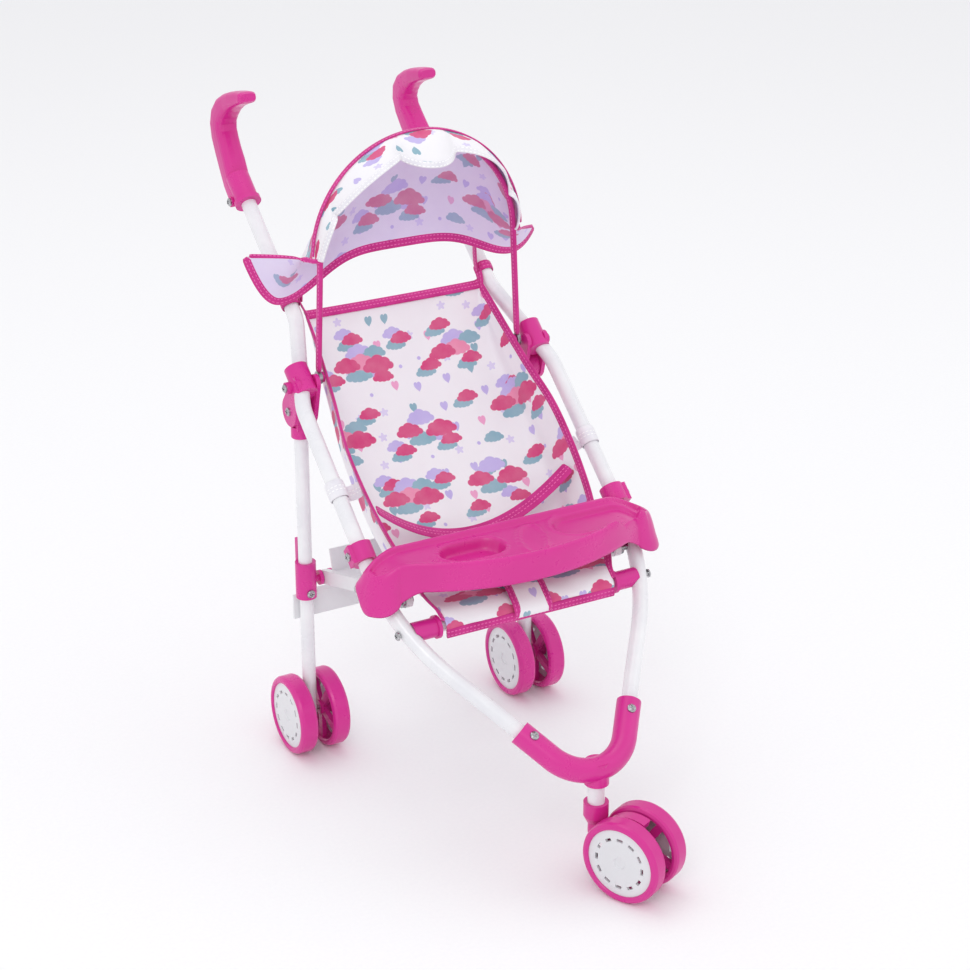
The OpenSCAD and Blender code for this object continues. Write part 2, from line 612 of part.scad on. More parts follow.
// rows of the sling: edge [x, along the rake, height], panel corner, and the sag at the middle
sling_rows = [
    [[83, -74, -1], [78, -74, -3], 1],
    [[85, -50, 1], [78, -50, -14], 3],
    [[88, -20, 2], [79, -20, -24], 4],
    [[92, 15, 3], [81, 15, -31], 4],
    [[98, 55, 4], [84, 55, -35], 4],
    [[98, 100, 4], [84, 100, -38], 4],
    [[95, 135, 4], [81, 135, -39], 3],
    [[91, 160, 4], [79, 152, -37], 2],
    [[89, 180, 5], [77, 172, -27], 2],
    [[85, 200, 6], [75, 194, -10], 1],
    [[79, 214, 7], [73, 212, 6.5], 0.5],
    [[78, 226, 7.6], [72, 226, 7.6], 0],
    [[78, 233, 1], [72, 233, 1], 0]];
function sling_row(r) = let (e = r[0], c = r[1], half = [
        [e[0], e[1], e[2]],
        [e[0] - 3, (e[1] + c[1]) / 2, (e[2] + c[2]) / 2],
        [c[0], c[1], c[2]],
        [c[0] * 0.55, c[1], c[2] - r[2] * 0.7]])
    concat([for (p = half) raked(-p[0], p[1], p[2])], [raked(0, c[1], c[2] - r[2])],
        [for (i = [3:-1:0]) raked(half[i][0], half[i][1], half[i][2])]);
sling_grid = [for (r = sling_rows) sling_row(r)];
module seat_sling() color("thistle") sheet(sling_grid, moved(sling_grid, cloth));

// lap belt: hangs from side edge to side edge in front of the back panel
belt_w = 14;
belt_t = 1.6;
belt_x = 91;
belt_s = 112;
belt_sag = 26;
belt_drop = 30;
function belt_point(x, k) = let (d = 1 - pow(x / belt_x, 2))
    raked(x, belt_s + belt_sag * d + k * belt_w / 2, -2 - belt_drop * d);
belt_grid = [for (k = [-1, 1]) [for (x = [-belt_x:13:belt_x]) belt_point(x, k)]];
module lap_belt() color("mediumvioletred") sheet(moved(belt_grid, -belt_t), belt_grid);
crotch_x = 17;
crotch_line = [[211, 12], [194, -3], [172, -19], [157, -27], [150, -27]];
crotch_grid = [for (x = [-crotch_x, crotch_x]) [for (p = crotch_line) raked(x, p[0], p[1])]];
module crotch_strap() color("thistle") sheet(crotch_grid, moved(crotch_grid, belt_t));
loop_gap = 0.4;
module tube_loop(s, h, wall_t) on_rake() translate([tube_x(s), 0, s - h / 2])
    linear_extrude(h) ring_outline(tube_r + loop_gap + wall_t, tube_r + loop_gap);
module corner_straps() color("mediumvioletred") both_sides() {
    tube_loop(-88, 9, 1.4);
    on_rake() translate([handle_x - tube_r - 3.4, -3, -92]) cube([2, 6, 15]);
}
module hook_tabs() color("white") both_sides() {
    tube_loop(90, 16, 1.2);
    on_rake() translate([seat_x + 1, tube_r * -1 - 9.4, 83]) cube([1.6, 9.2, 14]);
}

// ---------- caster and wheels ----------

module on_caster() translate([0, -stem_y, 0]) rotate([0, 0, swivel]) children();
module caster_fork() color("mediumvioletred") on_caster() difference() {
    union() {
        translate([0, 0, stem_low - 8]) cylinder(r = stem_d / 2 + 3.2, h = 12);
        translate([0, 0, stem_low - 14]) cylinder(r1 = 7.2, r2 = stem_d / 2 + 3.2, h = 6.1);
        hull() {
            translate([0, 0, stem_low - 24]) cylinder(r = 6.4, h = 16, $fn = 32);
            translate([trail, 6.4, axle_z]) rotate([90, 0, 0]) cylinder(r = 8, h = 12.8, $fn = 32);
        }
        // mudguard rib between the wheels
        translate([trail, 6.4, axle_z]) rotate([90, 0, 0]) rotate([0, 0, 70])
            rotate_extrude(angle = 80) translate([wheel_r - 9, 1.4]) square([6, 10]);
    }
    translate([0, 0, stem_low - 0.3]) cylinder(r = stem_d / 2 + fit, h = 20);
    translate([0, 0, stem_low - 19]) cylinder(r = pin_r + fit, h = 30);
    translate([trail, 20, axle_z]) rotate([90, 0, 0]) cylinder(r = axle_r + fit, h = 40);
}
module caster_axle() color("silver") on_caster()
    translate([trail, axle_half, axle_z]) rotate([90, 0, 0]) cylinder(r = axle_r, h = 2 * axle_half);

// wheel about the X axis, its closed side towards +X
module wheel() color("mediumvioletred") rotate([0, 90, 0]) difference() {
    union() {
        rotate_extrude() polygon([[rim_in_r, -wheel_w / 2 + 1], [rim_in_r + 1, -wheel_w / 2],
            [wheel_r - 3, -wheel_w / 2], [wheel_r - 1, -wheel_w / 2 + 1], [wheel_r, -wheel_w / 2 + 3],
            [wheel_r, wheel_w / 2 - 3], [wheel_r - 1, wheel_w / 2 - 1], [wheel_r - 3, wheel_w / 2],
            [rim_in_r + 1, wheel_w / 2], [rim_in_r, wheel_w / 2 - 1]]);
        for (k = [0:spokes - 1]) rotate([0, 0, k * 360 / spokes])
            translate([hub_r - 1, -3.5, 2 - wheel_w / 2]) cube([rim_in_r - hub_r + 2, 7, 4]);
        translate([0, 0, 0.3 - wheel_w / 2]) cylinder(r = hub_r, h = wheel_w / 2 + 3.2);
    }
    cylinder(r = axle_r + fit, h = wheel_w * 2, center = true);
}
// snap-on cover of a wheel, with a ring of slots and a dimple
module cap() color("whitesmoke") rotate([0, 90, 0]) difference() {
    rotate_extrude() polygon([[0, 3.6], [5, 3.6], [5, 4.4], [cap_r, 4.4], [cap_r, 6.3], [cap_r - 6, 7.3],
        [14, 7], [5.4, 6.6], [4.6, 5.6], [0, 5.6]]);
    for (k = [0:slots - 1]) rotate([0, 0, k * 360 / slots])
        translate([cap_r - 9.2, -2.8, 0]) cube([2.6, 5.6, 20]);
}
// places a wheel part: x and which way its closed side faces
module rear_place(x, face) translate([x, leg_y, axle_z]) side(face) children();
module front_place(k) on_caster() translate([trail, k * pair_x, axle_z])
    rotate([0, 0, 90]) side(k) children();
module wheel_rear_left_outer() rear_place(-leg_x - pair_x, -1) wheel();
module wheel_rear_left_inner() rear_place(-leg_x + pair_x, 1) wheel();
module wheel_rear_right_inner() rear_place(leg_x - pair_x, -1) wheel();
module wheel_rear_right_outer() rear_place(leg_x + pair_x, 1) wheel();
module wheel_front_left() front_place(-1) wheel();
module wheel_front_right() front_place(1) wheel();
module cap_rear_left_outer() rear_place(-leg_x - pair_x, -1) cap();
module cap_rear_left_inner() rear_place(-leg_x + pair_x, 1) cap();
module cap_rear_right_inner() rear_place(leg_x - pair_x, -1) cap();
module cap_rear_right_outer() rear_place(leg_x + pair_x, 1) cap();
module cap_front_left() front_place(-1) cap();
module cap_front_right() front_place(1) cap();

main_tube_left();
main_tube_right();
handle_left();
handle_right();
handle_screws();
side_clamp_left();
side_clamp_right();
clamp_screws();
hinge_screws();
front_bracket();
bracket_screws();
caster_stem();
seat_crossbar();
crossbar_sleeves();
crossbar_screws();
bumper_tray();
tray_sleeves();
tube_clips();
clip_screws();
brace_pivot_pins();
seat_sling();
lap_belt();
crotch_strap();
corner_straps();
hook_tabs();
rear_leg_left();
rear_leg_right();
leg_caps();
leg_collar_left();
leg_collar_right();
collar_screws();
rear_crossbar();
rear_crossbar_screws();
rear_axles();
brace_rear_link();
brace_front_link();
brace_rivets();
canopy_bow();
bow_binding();
canopy();
caster_fork();
caster_axle();
wheel_rear_left_outer();
wheel_rear_left_inner();
wheel_rear_right_inner();
wheel_rear_right_outer();
wheel_front_left();
wheel_front_right();
cap_rear_left_outer();
cap_rear_left_inner();
cap_rear_right_inner();
cap_rear_right_outer();
cap_front_left();
cap_front_right();
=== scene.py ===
# %% [markdown]
# # Doll stroller
# The frame of this stroller, its tubes, hinges, wheels and screws, comes ready made as a fixed
# model. Here we give those pieces their finishes, and make the soft goods and the moulded tray
# that need real modelling: the seat, the canopy, the straps and the bumper tray.

import json
import math

import bpy
import numpy as np
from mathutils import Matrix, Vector, noise


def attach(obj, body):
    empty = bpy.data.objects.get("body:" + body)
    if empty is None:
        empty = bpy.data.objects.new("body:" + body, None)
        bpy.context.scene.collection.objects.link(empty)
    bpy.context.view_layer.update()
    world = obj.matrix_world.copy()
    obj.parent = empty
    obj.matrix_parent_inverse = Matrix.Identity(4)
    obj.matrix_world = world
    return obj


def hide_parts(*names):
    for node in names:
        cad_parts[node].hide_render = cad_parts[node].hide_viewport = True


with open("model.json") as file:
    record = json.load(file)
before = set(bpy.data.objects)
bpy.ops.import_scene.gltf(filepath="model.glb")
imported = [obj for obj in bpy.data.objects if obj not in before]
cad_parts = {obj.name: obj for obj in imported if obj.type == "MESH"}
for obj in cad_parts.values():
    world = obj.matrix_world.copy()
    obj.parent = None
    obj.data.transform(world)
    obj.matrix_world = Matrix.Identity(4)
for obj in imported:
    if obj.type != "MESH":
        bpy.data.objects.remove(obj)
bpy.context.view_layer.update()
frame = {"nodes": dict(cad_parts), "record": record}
bpy.ops.object.select_all(action="DESELECT")

# %% [markdown]
# The main tubes lean back at one angle, the rake, and the seat hangs between them. It is easier to
# think in the tubes' own directions: x across, s down the tubes and h square to them. One function
# turns those into a place in the scene. Sizes are written in millimetres and turned to metres once.

# %% Sizes and directions
MM = 0.001
RAKE = math.radians(40.3)
RAKE_Y, RAKE_Z = 71.0, 338.0
SEAT_X, HANDLE_X = 118.5, 93.0   # half distances between the tubes


def raked(x, s, h):
    """A place by the main tubes: across, down the rake and square to it, in millimetres."""
    return np.array([x, RAKE_Y - s * math.cos(RAKE) - h * math.sin(RAKE),
                     RAKE_Z - s * math.sin(RAKE) + h * math.cos(RAKE)])


def step(low, high, value):
    """Goes smoothly from 0 at low to 1 at high."""
    t = min(1.0, max(0.0, (value - low) / (high - low)))
    return t * t * (3 - 2 * t)


def spline(points, count):
    """Points spaced along a smooth curve through the given ones (Catmull-Rom)."""
    p = np.array(points, float)
    p = np.vstack([2 * p[0] - p[1], p, 2 * p[-1] - p[-2]])
    out = []
    for k in range(count + 1):
        t = k / count * (len(points) - 1)
        i = min(int(t), len(points) - 2)
        t -= i
        a, b, c, d = p[i], p[i + 1], p[i + 2], p[i + 3]
        out.append(0.5 * (2 * b + (c - a) * t + (2 * a - 5 * b + 4 * c - d) * t ** 2
                          + (3 * b - a - 3 * c + d) * t ** 3))
    return np.array(out)


def ripple(point, size, seed=0.0):
    """Smooth noise from -1 to 1, whose waves are about size millimetres long."""
    return noise.noise(Vector(point) / size + Vector((seed, seed, seed)))


# %% [markdown]
# A material is a small graph of nodes. One helper adds any node: it takes the node's kind, what goes
# into its sockets, either a value or another node's output, and its settings. Colours are written as
# sRGB hex values, as in a paint program, and one function turns them to the linear values that the
# renderer needs.

# %% Colours and nodes
def linear(code, alpha=1.0):
    """Turns an sRGB hex colour to linear light."""
    values = [int(code[i:i + 2], 16) / 255 for i in (0, 2, 4)]
    return tuple(v / 12.92 if v <= 0.04045 else ((v + 0.055) / 1.055) ** 2.4
                 for v in values) + (alpha,)


def add(tree, kind, sockets=None, **settings):
    """Adds a node, with its settings, and fills its sockets with values or links."""
    new = tree.nodes.new(kind)
    for name, value in settings.items():
        setattr(new, name, value)
    for name, value in (sockets or {}).items():
        if isinstance(value, bpy.types.NodeSocket):
            tree.links.new(value, new.inputs[name])
        else:
            new.inputs[name].default_value = value
    return new


def start_material(name, rough, **shader):
    """A new material with its shader: constants go straight on the shader's sockets."""
    material = bpy.data.materials.new(name)
    material.use_nodes = True
    tree = material.node_tree
    surface = tree.nodes["Principled BSDF"]
    surface.inputs["Roughness"].default_value = rough
    for socket, value in shader.items():
        surface.inputs[socket.replace("_", " ")].default_value = value
    return material, tree, surface


def link(tree, source, surface, socket):
    tree.links.new(source, surface.inputs[socket])


MIX_A, MIX_B, MIX_OUT = 6, 7, 2   # the colour sockets of a Mix node


def mixed(tree, factor, a, b, blend="MIX"):
    """Mixes two colours by a factor."""
    return add(tree, "ShaderNodeMix", {0: factor, MIX_A: a, MIX_B: b},
               data_type="RGBA", blend_type=blend).outputs[MIX_OUT]


def maths(tree, operation, a, b=0.0, c=0.0):
    return add(tree, "ShaderNodeMath", {0: a, 1: b, 2: c}, operation=operation).outputs[0]


def times(tree, a, b):
    return maths(tree, "MULTIPLY", a, b)


def plus(tree, a, b):
    return maths(tree, "ADD", a, b)


def ramp(tree, value, low, high, out_low=0.0, out_high=1.0):
    """Maps a value from one range to another, and holds it inside the new range."""
    return add(tree, "ShaderNodeMapRange", {"Value": value, "From Min": low, "From Max": high,
                                            "To Min": out_low, "To Max": out_high}).outputs[0]


def bumped(tree, surface, height, strength, distance):
    """Raises the surface by a height."""
    bump = add(tree, "ShaderNodeBump", {"Height": height, "Strength": strength, "Distance": distance})
    link(tree, bump.outputs[0], surface, "Normal")


def cloth_place(tree):
    """The cloth's own map, in millimetres."""
    cloth = add(tree, "ShaderNodeUVMap", uv_map="cloth").outputs[0]
    return add(tree, "ShaderNodeVectorMath", {0: cloth, "Scale": 1000.0}, operation="SCALE").outputs[0]


# %% [markdown]
# Most of the stroller's hard pieces are injection-moulded ABS in one hot pink. Real mouldings are
# never quite even: the gloss wanders a little where the mould was polished by hand, the surface dips
# over thick ribs, and handling leaves very fine scuffs. Noise at three sizes drives the gloss, the
# colour and a weak bump.

# %% Moulded plastics
def moulded(name, light, dark, rough, texture_mm=1.4):
    """Injection-moulded plastic with an uneven gloss."""
    material, tree, surface = start_material(name, rough, Specular_IOR_Level=0.5)
    place = add(tree, "ShaderNodeTexCoord").outputs["Object"]
    broad = add(tree, "ShaderNodeTexNoise", {"Vector": place, "Scale": 14.0, "Detail": 3.0}).outputs[0]
    fine = add(tree, "ShaderNodeTexNoise",
               {"Vector": place, "Scale": 1.0 / (texture_mm * MM), "Detail": 4.0}).outputs[0]
    scuffs = add(tree, "ShaderNodeTexNoise",
                 {"Vector": place, "Scale": 90.0, "Detail": 8.0, "Roughness": 0.72}).outputs[0]
    link(tree, mixed(tree, ramp(tree, broad, 0.1, 0.9), linear(light), linear(dark)),
         surface, "Base Color")
    gloss = plus(tree, ramp(tree, broad, 0.1, 0.9, rough - 0.06, rough + 0.07),
                  ramp(tree, scuffs, 0.4, 0.95, 0.0, 0.1))
    link(tree, gloss, surface, "Roughness")
    height = plus(tree, times(tree, broad, 1.0), times(tree, fine, 0.16))
    bumped(tree, surface, height, 0.22, 0.0007)
    return material


pink_abs = moulded("moulded pink ABS", "E0309A", "CC2488", 0.27)
white_abs = moulded("moulded white ABS", "E9E9EB", "DCDCE0", 0.36)
print("plastics:", pink_abs.name, white_abs.name)

# %% [markdown]
# The tubes are steel with a white baked enamel. Enamel flows before it sets, so it has a glassy top
# coat and a soft orange-peel, here about 2 mm across. Fine marks where the frame is handled dull it
# in patches.

# %% Enamelled tube and plated steel
enamel, tree, surface = start_material("white baked enamel", 0.24, Coat_Weight=0.45,
                                       Coat_Roughness=0.08)
place = add(tree, "ShaderNodeTexCoord").outputs["Object"]
peel = add(tree, "ShaderNodeTexNoise", {"Vector": place, "Scale": 480.0, "Detail": 2.0}).outputs[0]
dulled = add(tree, "ShaderNodeTexNoise", {"Vector": place, "Scale": 34.0, "Detail": 6.0}).outputs[0]
link(tree, mixed(tree, ramp(tree, dulled, 0.35, 0.7), linear("F1F1F3"), linear("E3E3E8")),
     surface, "Base Color")
link(tree, ramp(tree, dulled, 0.35, 0.7, 0.2, 0.34), surface, "Roughness")
bumped(tree, surface, peel, 0.12, 0.0004)


def plated(name, colour, rough, turned):
    """Bright metal with fine marks. turned stretches them: even on the screw heads, drawn out along x
    on the drawn wire.
    """
    material, tree, surface = start_material(name, rough, Metallic=1.0)
    place = add(tree, "ShaderNodeTexCoord").outputs["Object"]
    marks = add(tree, "ShaderNodeTexNoise", {
        "Vector": add(tree, "ShaderNodeMapping", {"Vector": place, "Scale": turned}).outputs[0],
        "Scale": 700.0, "Detail": 5.0}).outputs[0]
    link(tree, mixed(tree, ramp(tree, marks, 0.3, 0.7), linear(colour), linear("8E8E92")),
         surface, "Base Color")
    link(tree, ramp(tree, marks, 0.3, 0.7, rough - 0.06, rough + 0.14), surface, "Roughness")
    bumped(tree, surface, marks, 0.1, 0.0001)
    return material


zinc = plated("bright zinc-plated steel", "D4D4D6", 0.2, (1.0, 1.0, 1.0))
drawn = plated("drawn steel wire", "B9B9BC", 0.3, (0.2, 1.0, 1.0))
print("metals:", zinc.name, drawn.name, enamel.name)

# %% [markdown]
# The seat and canopy are a printed plain-weave polyester. The print is a repeat of scalloped clouds
# in overlapping groups, small hearts, stars and dots on white. A cloud's outline is the union of a
# few circles, so a node group measures the distance to the nearest circle. The cloth is divided
# into cells, like bricks, and random numbers for each cell move the motif a little and choose its
# colour. All of this reads the cloth's own UV map, in metres along the cloth, so the print bends
# with it.

# %% A cloud outline
CLOUD = [(-0.36, -0.06, 0.14), (-0.2, 0.07, 0.19), (0.02, 0.13, 0.22), (0.24, 0.06, 0.18),
         (0.38, -0.06, 0.13), (0.0, -0.07, 0.2), (-0.18, -0.11, 0.14), (0.19, -0.11, 0.15)]
cloud_group = bpy.data.node_groups.new("cloud outline", "ShaderNodeTree")
cloud_group.interface.new_socket("Vector", in_out="INPUT", socket_type="NodeSocketVector")
cloud_group.interface.new_socket("Distance", in_out="OUTPUT", socket_type="NodeSocketFloat")
entry = cloud_group.nodes.new("NodeGroupInput")
nearest = 9.0
for cx, cy, radius in CLOUD:
    reach = add(cloud_group, "ShaderNodeVectorMath", {0: entry.outputs[0], 1: (cx, cy, 0.0)},
                operation="DISTANCE").outputs["Value"]
    nearest = maths(cloud_group, "MINIMUM", nearest, maths(cloud_group, "SUBTRACT", reach, radius))
cloud_group.links.new(nearest, cloud_group.nodes.new("NodeGroupOutput").inputs[0])
print("cloud outline:", len(CLOUD), "circles")


# %% [markdown]
# The print is stamped in layers, from the small motifs up to the large groups of clouds. Each layer
# has its own cells, and each cloud of a group its own offset, size and chance of being there.

# %% The printed cloth
def brick(tree, cloth_mm, cell, shift, seed):
    """Divides the cloth into bricks. Gives the place inside a brick in millimetres, and two sets of
    random numbers for the brick."""
    p = add(tree, "ShaderNodeVectorMath", {0: cloth_mm, 1: (1 / cell[0], 1 / cell[1], 0.0),
                                           2: (shift[0], shift[1], 0.0)},
            operation="MULTIPLY_ADD").outputs[0]
    parts = add(tree, "ShaderNodeSeparateXYZ", {0: p})
    row = maths(tree, "FLOOR", parts.outputs[1])
    x = plus(tree, parts.outputs[0], times(tree, row, 0.5))
    corner = add(tree, "ShaderNodeCombineXYZ", {0: maths(tree, "FLOOR", x), 1: row, 2: seed}).outputs[0]
    inside = add(tree, "ShaderNodeCombineXYZ", {
        0: times(tree, maths(tree, "SUBTRACT", maths(tree, "FRACT", x), 0.5), cell[0]),
        1: times(tree, maths(tree, "SUBTRACT", maths(tree, "FRACT", parts.outputs[1]), 0.5),
                 cell[1])}).outputs[0]
    chance = [add(tree, "ShaderNodeSeparateXYZ", {0: add(tree, "ShaderNodeTexWhiteNoise", {
        "Vector": corner, "W": w}, noise_dimensions="4D").outputs["Color"]}) for w in (0.0, 7.0)]
    return inside, chance[0].outputs, chance[1].outputs


def moved(tree, inside, chance, jitter, offset, size, flat=1.0):
    """Moves the place by a random jitter and an offset, and measures it in the motif's own size.
    flat above 1 makes the motif wide and low."""
    wander = add(tree, "ShaderNodeCombineXYZ", {
        0: ramp(tree, chance[0], 0.0, 1.0, offset[0] - jitter[0], offset[0] + jitter[0]),
        1: ramp(tree, chance[1], 0.0, 1.0, offset[1] - jitter[1], offset[1] + jitter[1])}).outputs[0]
    local = add(tree, "ShaderNodeVectorMath", {0: inside, 1: wander}, operation="SUBTRACT").outputs[0]
    return add(tree, "ShaderNodeVectorMath", {0: local, 1: (1.0 / size, flat / size, 1.0)},
               operation="MULTIPLY").outputs[0]


def stamp(tree, ground, distance, colour, shown=1.0, edge=0.012):
    """Prints a colour where the distance is negative."""
    cover = times(tree, ramp(tree, distance, edge, -edge), shown)
    return mixed(tree, cover, ground, colour)


def cloud(tree, vector):
    group = add(tree, "ShaderNodeGroup", node_tree=cloud_group)
    tree.links.new(vector, group.inputs[0])
    return group.outputs[0]


INK = {"ground": "F4F2F6", "deep": "D8437F", "salmon": "EE8FB2", "teal": "8DB4C4", "lilac": "C4B6EA",
       "heart": "F0A3CC", "pale": "DCD3F2"}


def print_colours(tree, fade):
    """The whole print as one colour output. fade 0 is the right side of the cloth, 1 is blank."""
    ink = {k: linear(v) for k, v in INK.items()}
    ink = {k: tuple(c + (ink["ground"][i] - c) * fade for i, c in enumerate(v)) for k, v in ink.items()}
    cloth_mm = cloth_place(tree)
    colour = ink["ground"]
    # dots, stars and hearts
    inside, one, two = brick(tree, cloth_mm, (24.0, 21.0), (0.3, 0.1), 3.0)
    p = moved(tree, inside, one, (5.0, 4.0), (0.0, 0.0), 4.6)
    parts = add(tree, "ShaderNodeSeparateXYZ", {0: p})
    across = maths(tree, "ABSOLUTE", parts.outputs[0])
    heart = add(tree, "ShaderNodeCombineXYZ", {
        0: times(tree, across, 1.15),
        1: maths(tree, "SUBTRACT", parts.outputs[1],
                 times(tree, maths(tree, "SQRT", across), 0.72))}).outputs[0]
    heart = maths(tree, "SUBTRACT", add(tree, "ShaderNodeVectorMath", {0: heart},
                                        operation="LENGTH").outputs["Value"], 0.86)
    reach = add(tree, "ShaderNodeVectorMath", {0: p}, operation="LENGTH").outputs["Value"]
    angle = maths(tree, "ARCTAN2", parts.outputs[0], parts.outputs[1])
    points = times(tree, maths(tree, "COSINE", times(tree, angle, 5.0)), 0.2)
    star = maths(tree, "SUBTRACT", reach, plus(tree, points, 0.72))
    dot = maths(tree, "SUBTRACT", reach, 0.36)
    pick = two[0]
    colour = stamp(tree, colour, star, ink["pale"], maths(tree, "LESS_THAN", pick, 0.26), 0.04)
    colour = stamp(tree, colour, dot, ink["lilac"], maths(tree, "COMPARE", pick, 0.36, 0.1), 0.04)
    tint = mixed(tree, maths(tree, "GREATER_THAN", two[1], 0.45), ink["heart"], ink["lilac"])
    tint = mixed(tree, maths(tree, "GREATER_THAN", two[1], 0.78), tint, ink["teal"])
    colour = stamp(tree, colour, heart, tint, maths(tree, "GREATER_THAN", pick, 0.56), 0.04)
    # clouds in pairs, then larger groups over them
    layers = (
        ((45.0, 33.0), (0.15, 0.4), 11.0, (6.0, 3.0),
         (("lilac", (-5.0, 5.0), 19.0, 1, 0.6), ("teal", (-4.0, -5.0), 19.0, 0, 0.75),
          ("deep", (2.0, 0.0), 20.0, 2, 0.9))),
        ((84.0, 62.0), (0.45, 0.3), 23.0, (7.0, 4.0),
         (("lilac", (-2.0, 10.0), 26.0, 0, 0.85), ("teal", (12.0, 8.0), 22.0, 1, 0.7),
          ("teal", (-7.0, -9.0), 25.0, 2, 0.75), ("salmon", (-2.0, 1.0), 26.0, 1, 0.75),
          ("deep", (-16.0, 0.0), 25.0, 0, 1.1), ("deep", (13.0, -3.0), 29.0, 2, 0.8))))
    for cell, shift, seed, jitter, group in layers:
        inside, one, two = brick(tree, cloth_mm, cell, shift, seed)
        for ink_name, offset, size, draw, limit in group:
            shape = cloud(tree, moved(tree, inside, one, jitter, offset, size, 1.12))
            colour = stamp(tree, colour, shape, ink[ink_name],
                           maths(tree, "LESS_THAN", two[draw], limit))
    return cloth_mm, colour


THREAD_MM = 1.5   # real thread is near 0.3 mm, drawn coarser so that it shows


def weave(tree, cloth_mm, size=THREAD_MM):
    """The height of a plain weave: two sets of threads that pass over and under."""
    parts = add(tree, "ShaderNodeSeparateXYZ", {0: cloth_mm})
    waves = [maths(tree, "SINE", times(tree, parts.outputs[i], 2 * math.pi / size))
             for i in (0, 1)]
    return times(tree, waves[0], waves[1])


def printed(name, fade, tint):
    """Printed polyester. fade says how much of the print has sunk through to this side.
    tint is a painted shade multiplied over the whole colour.
    """
    material, tree, surface = start_material(name, 0.82, Sheen_Weight=0.25, Sheen_Roughness=0.5,
                                             Specular_IOR_Level=0.25)
    cloth_mm, colour = print_colours(tree, fade)
    place = add(tree, "ShaderNodeTexCoord").outputs["Object"]
    slub = add(tree, "ShaderNodeTexNoise", {"Vector": place, "Scale": 60.0, "Detail": 5.0}).outputs[0]
    # tint paints shade over the cloth: on the reverse side a lilac shade stands in for shadow and light
    # shining through the canopy
    colour = mixed(tree, 1.0, colour, linear(tint), "MULTIPLY")
    link(tree, mixed(tree, ramp(tree, slub, 0.3, 0.7, 0.0, 0.1), colour, linear("FFFFFF")),
         surface, "Base Color")
    height = plus(tree, times(tree, weave(tree, cloth_mm), 0.35), times(tree, slub, 2.2))
    bumped(tree, surface, height, 0.35, 0.0005)
    return material


print_face = printed("printed polyester, right side", 0.0, "FFFFFF")
# The reverse side: paler print, which the real cloth has, under a painted lilac shade for the canopy's
# shadowed inside
print_back_painted_shade = printed("printed polyester, reverse, painted shade", 0.22, "E9DEF8")
print("printed cloth:", len(print_face.node_tree.nodes), "nodes")

# %% [markdown]
# Every raw edge is bound with a folded pink tape, sewn down near its open edge. A tape's UV map runs
# along it and round it in metres, so a row of lockstitches can follow it: short raised dashes, about
# 2.5 mm long.

# %% Bound tape
def taped(name, colour, shade, thread):
    """Twill tape with a row of stitches."""
    material, tree, surface = start_material(name, 0.74, Sheen_Weight=0.3, Sheen_Roughness=0.4,
                                             Specular_IOR_Level=0.3)
    cloth_mm = cloth_place(tree)
    parts = add(tree, "ShaderNodeSeparateXYZ", {0: cloth_mm})
    along, across = parts.outputs[0], parts.outputs[1]
    ribs = maths(tree, "SINE", times(tree, plus(tree, along, across), 2 * math.pi / 1.3))
    off = maths(tree, "SUBTRACT", maths(tree, "ABSOLUTE", across), 1.6)
    row = ramp(tree, maths(tree, "ABSOLUTE", off), 0.3, 0.5, 1.0, 0.0)
    dash = maths(tree, "GREATER_THAN", maths(tree, "SINE", times(tree, along,
                                                                2 * math.pi / 3.4)), -0.25)
    stitch = times(tree, row, dash)
    place = add(tree, "ShaderNodeTexCoord").outputs["Object"]
    worn = add(tree, "ShaderNodeTexNoise", {"Vector": place, "Scale": 70.0, "Detail": 6.0}).outputs[0]
    base = mixed(tree, ramp(tree, worn, 0.3, 0.7), linear(colour), linear(shade))
    link(tree, mixed(tree, stitch, base, linear(thread)), surface, "Base Color")
    height = plus(tree, times(tree, ribs, 0.25),
                   plus(tree, times(tree, stitch, 1.2), times(tree, worn, 1.5)))
    bumped(tree, surface, height, 0.4, 0.0004)
    return material


pink_tape = taped("pink twill tape", "D63A92", "C22A80", "E86CB2")
white_tape = taped("white twill tape", "F2F0F4", "E4E2EA", "FFFFFF")
print("tapes:", pink_tape.name, white_tape.name)

# %% [markdown]
# The frame's nodes keep their shapes, and only their material changes. Which finish a node takes
# follows from the material slot that the record gives it.

# %% Finishes of the frame
FINISH = {"tube_white": enamel, "plastic_pink": pink_abs, "plastic_white": white_abs,
          "screw_steel": zinc, "axle_steel": drawn, "print_fabric": print_face,
          "binding_pink": pink_tape, "tab_white": white_tape}
slot_of = {part["node"]: part["material_slot"] for part in frame["record"]["subparts"]}
for name, piece in frame["nodes"].items():
    if not piece.material_slots:
        piece.data.materials.append(None)
    for holder in piece.material_slots:
        holder.link = "OBJECT"
        holder.material = FINISH[slot_of[name]]
print("finished", len(frame["nodes"]), "frame nodes")


# %% [markdown]
# Two helpers make all the soft goods. The first is a sheet: a flat grid is added, and each of its
# points is moved to where a function says, then it is given a thickness and smoothed. The cloth's UV
# map is measured on the placed grid, in metres from its middle line. The second is a tape: a flat
# oval outline carried along a path, for bindings, straps and hems.

# %% Sheets and tapes
def only(piece):
    bpy.ops.object.select_all(action="DESELECT")
    piece.select_set(True)
    bpy.context.view_layer.objects.active = piece


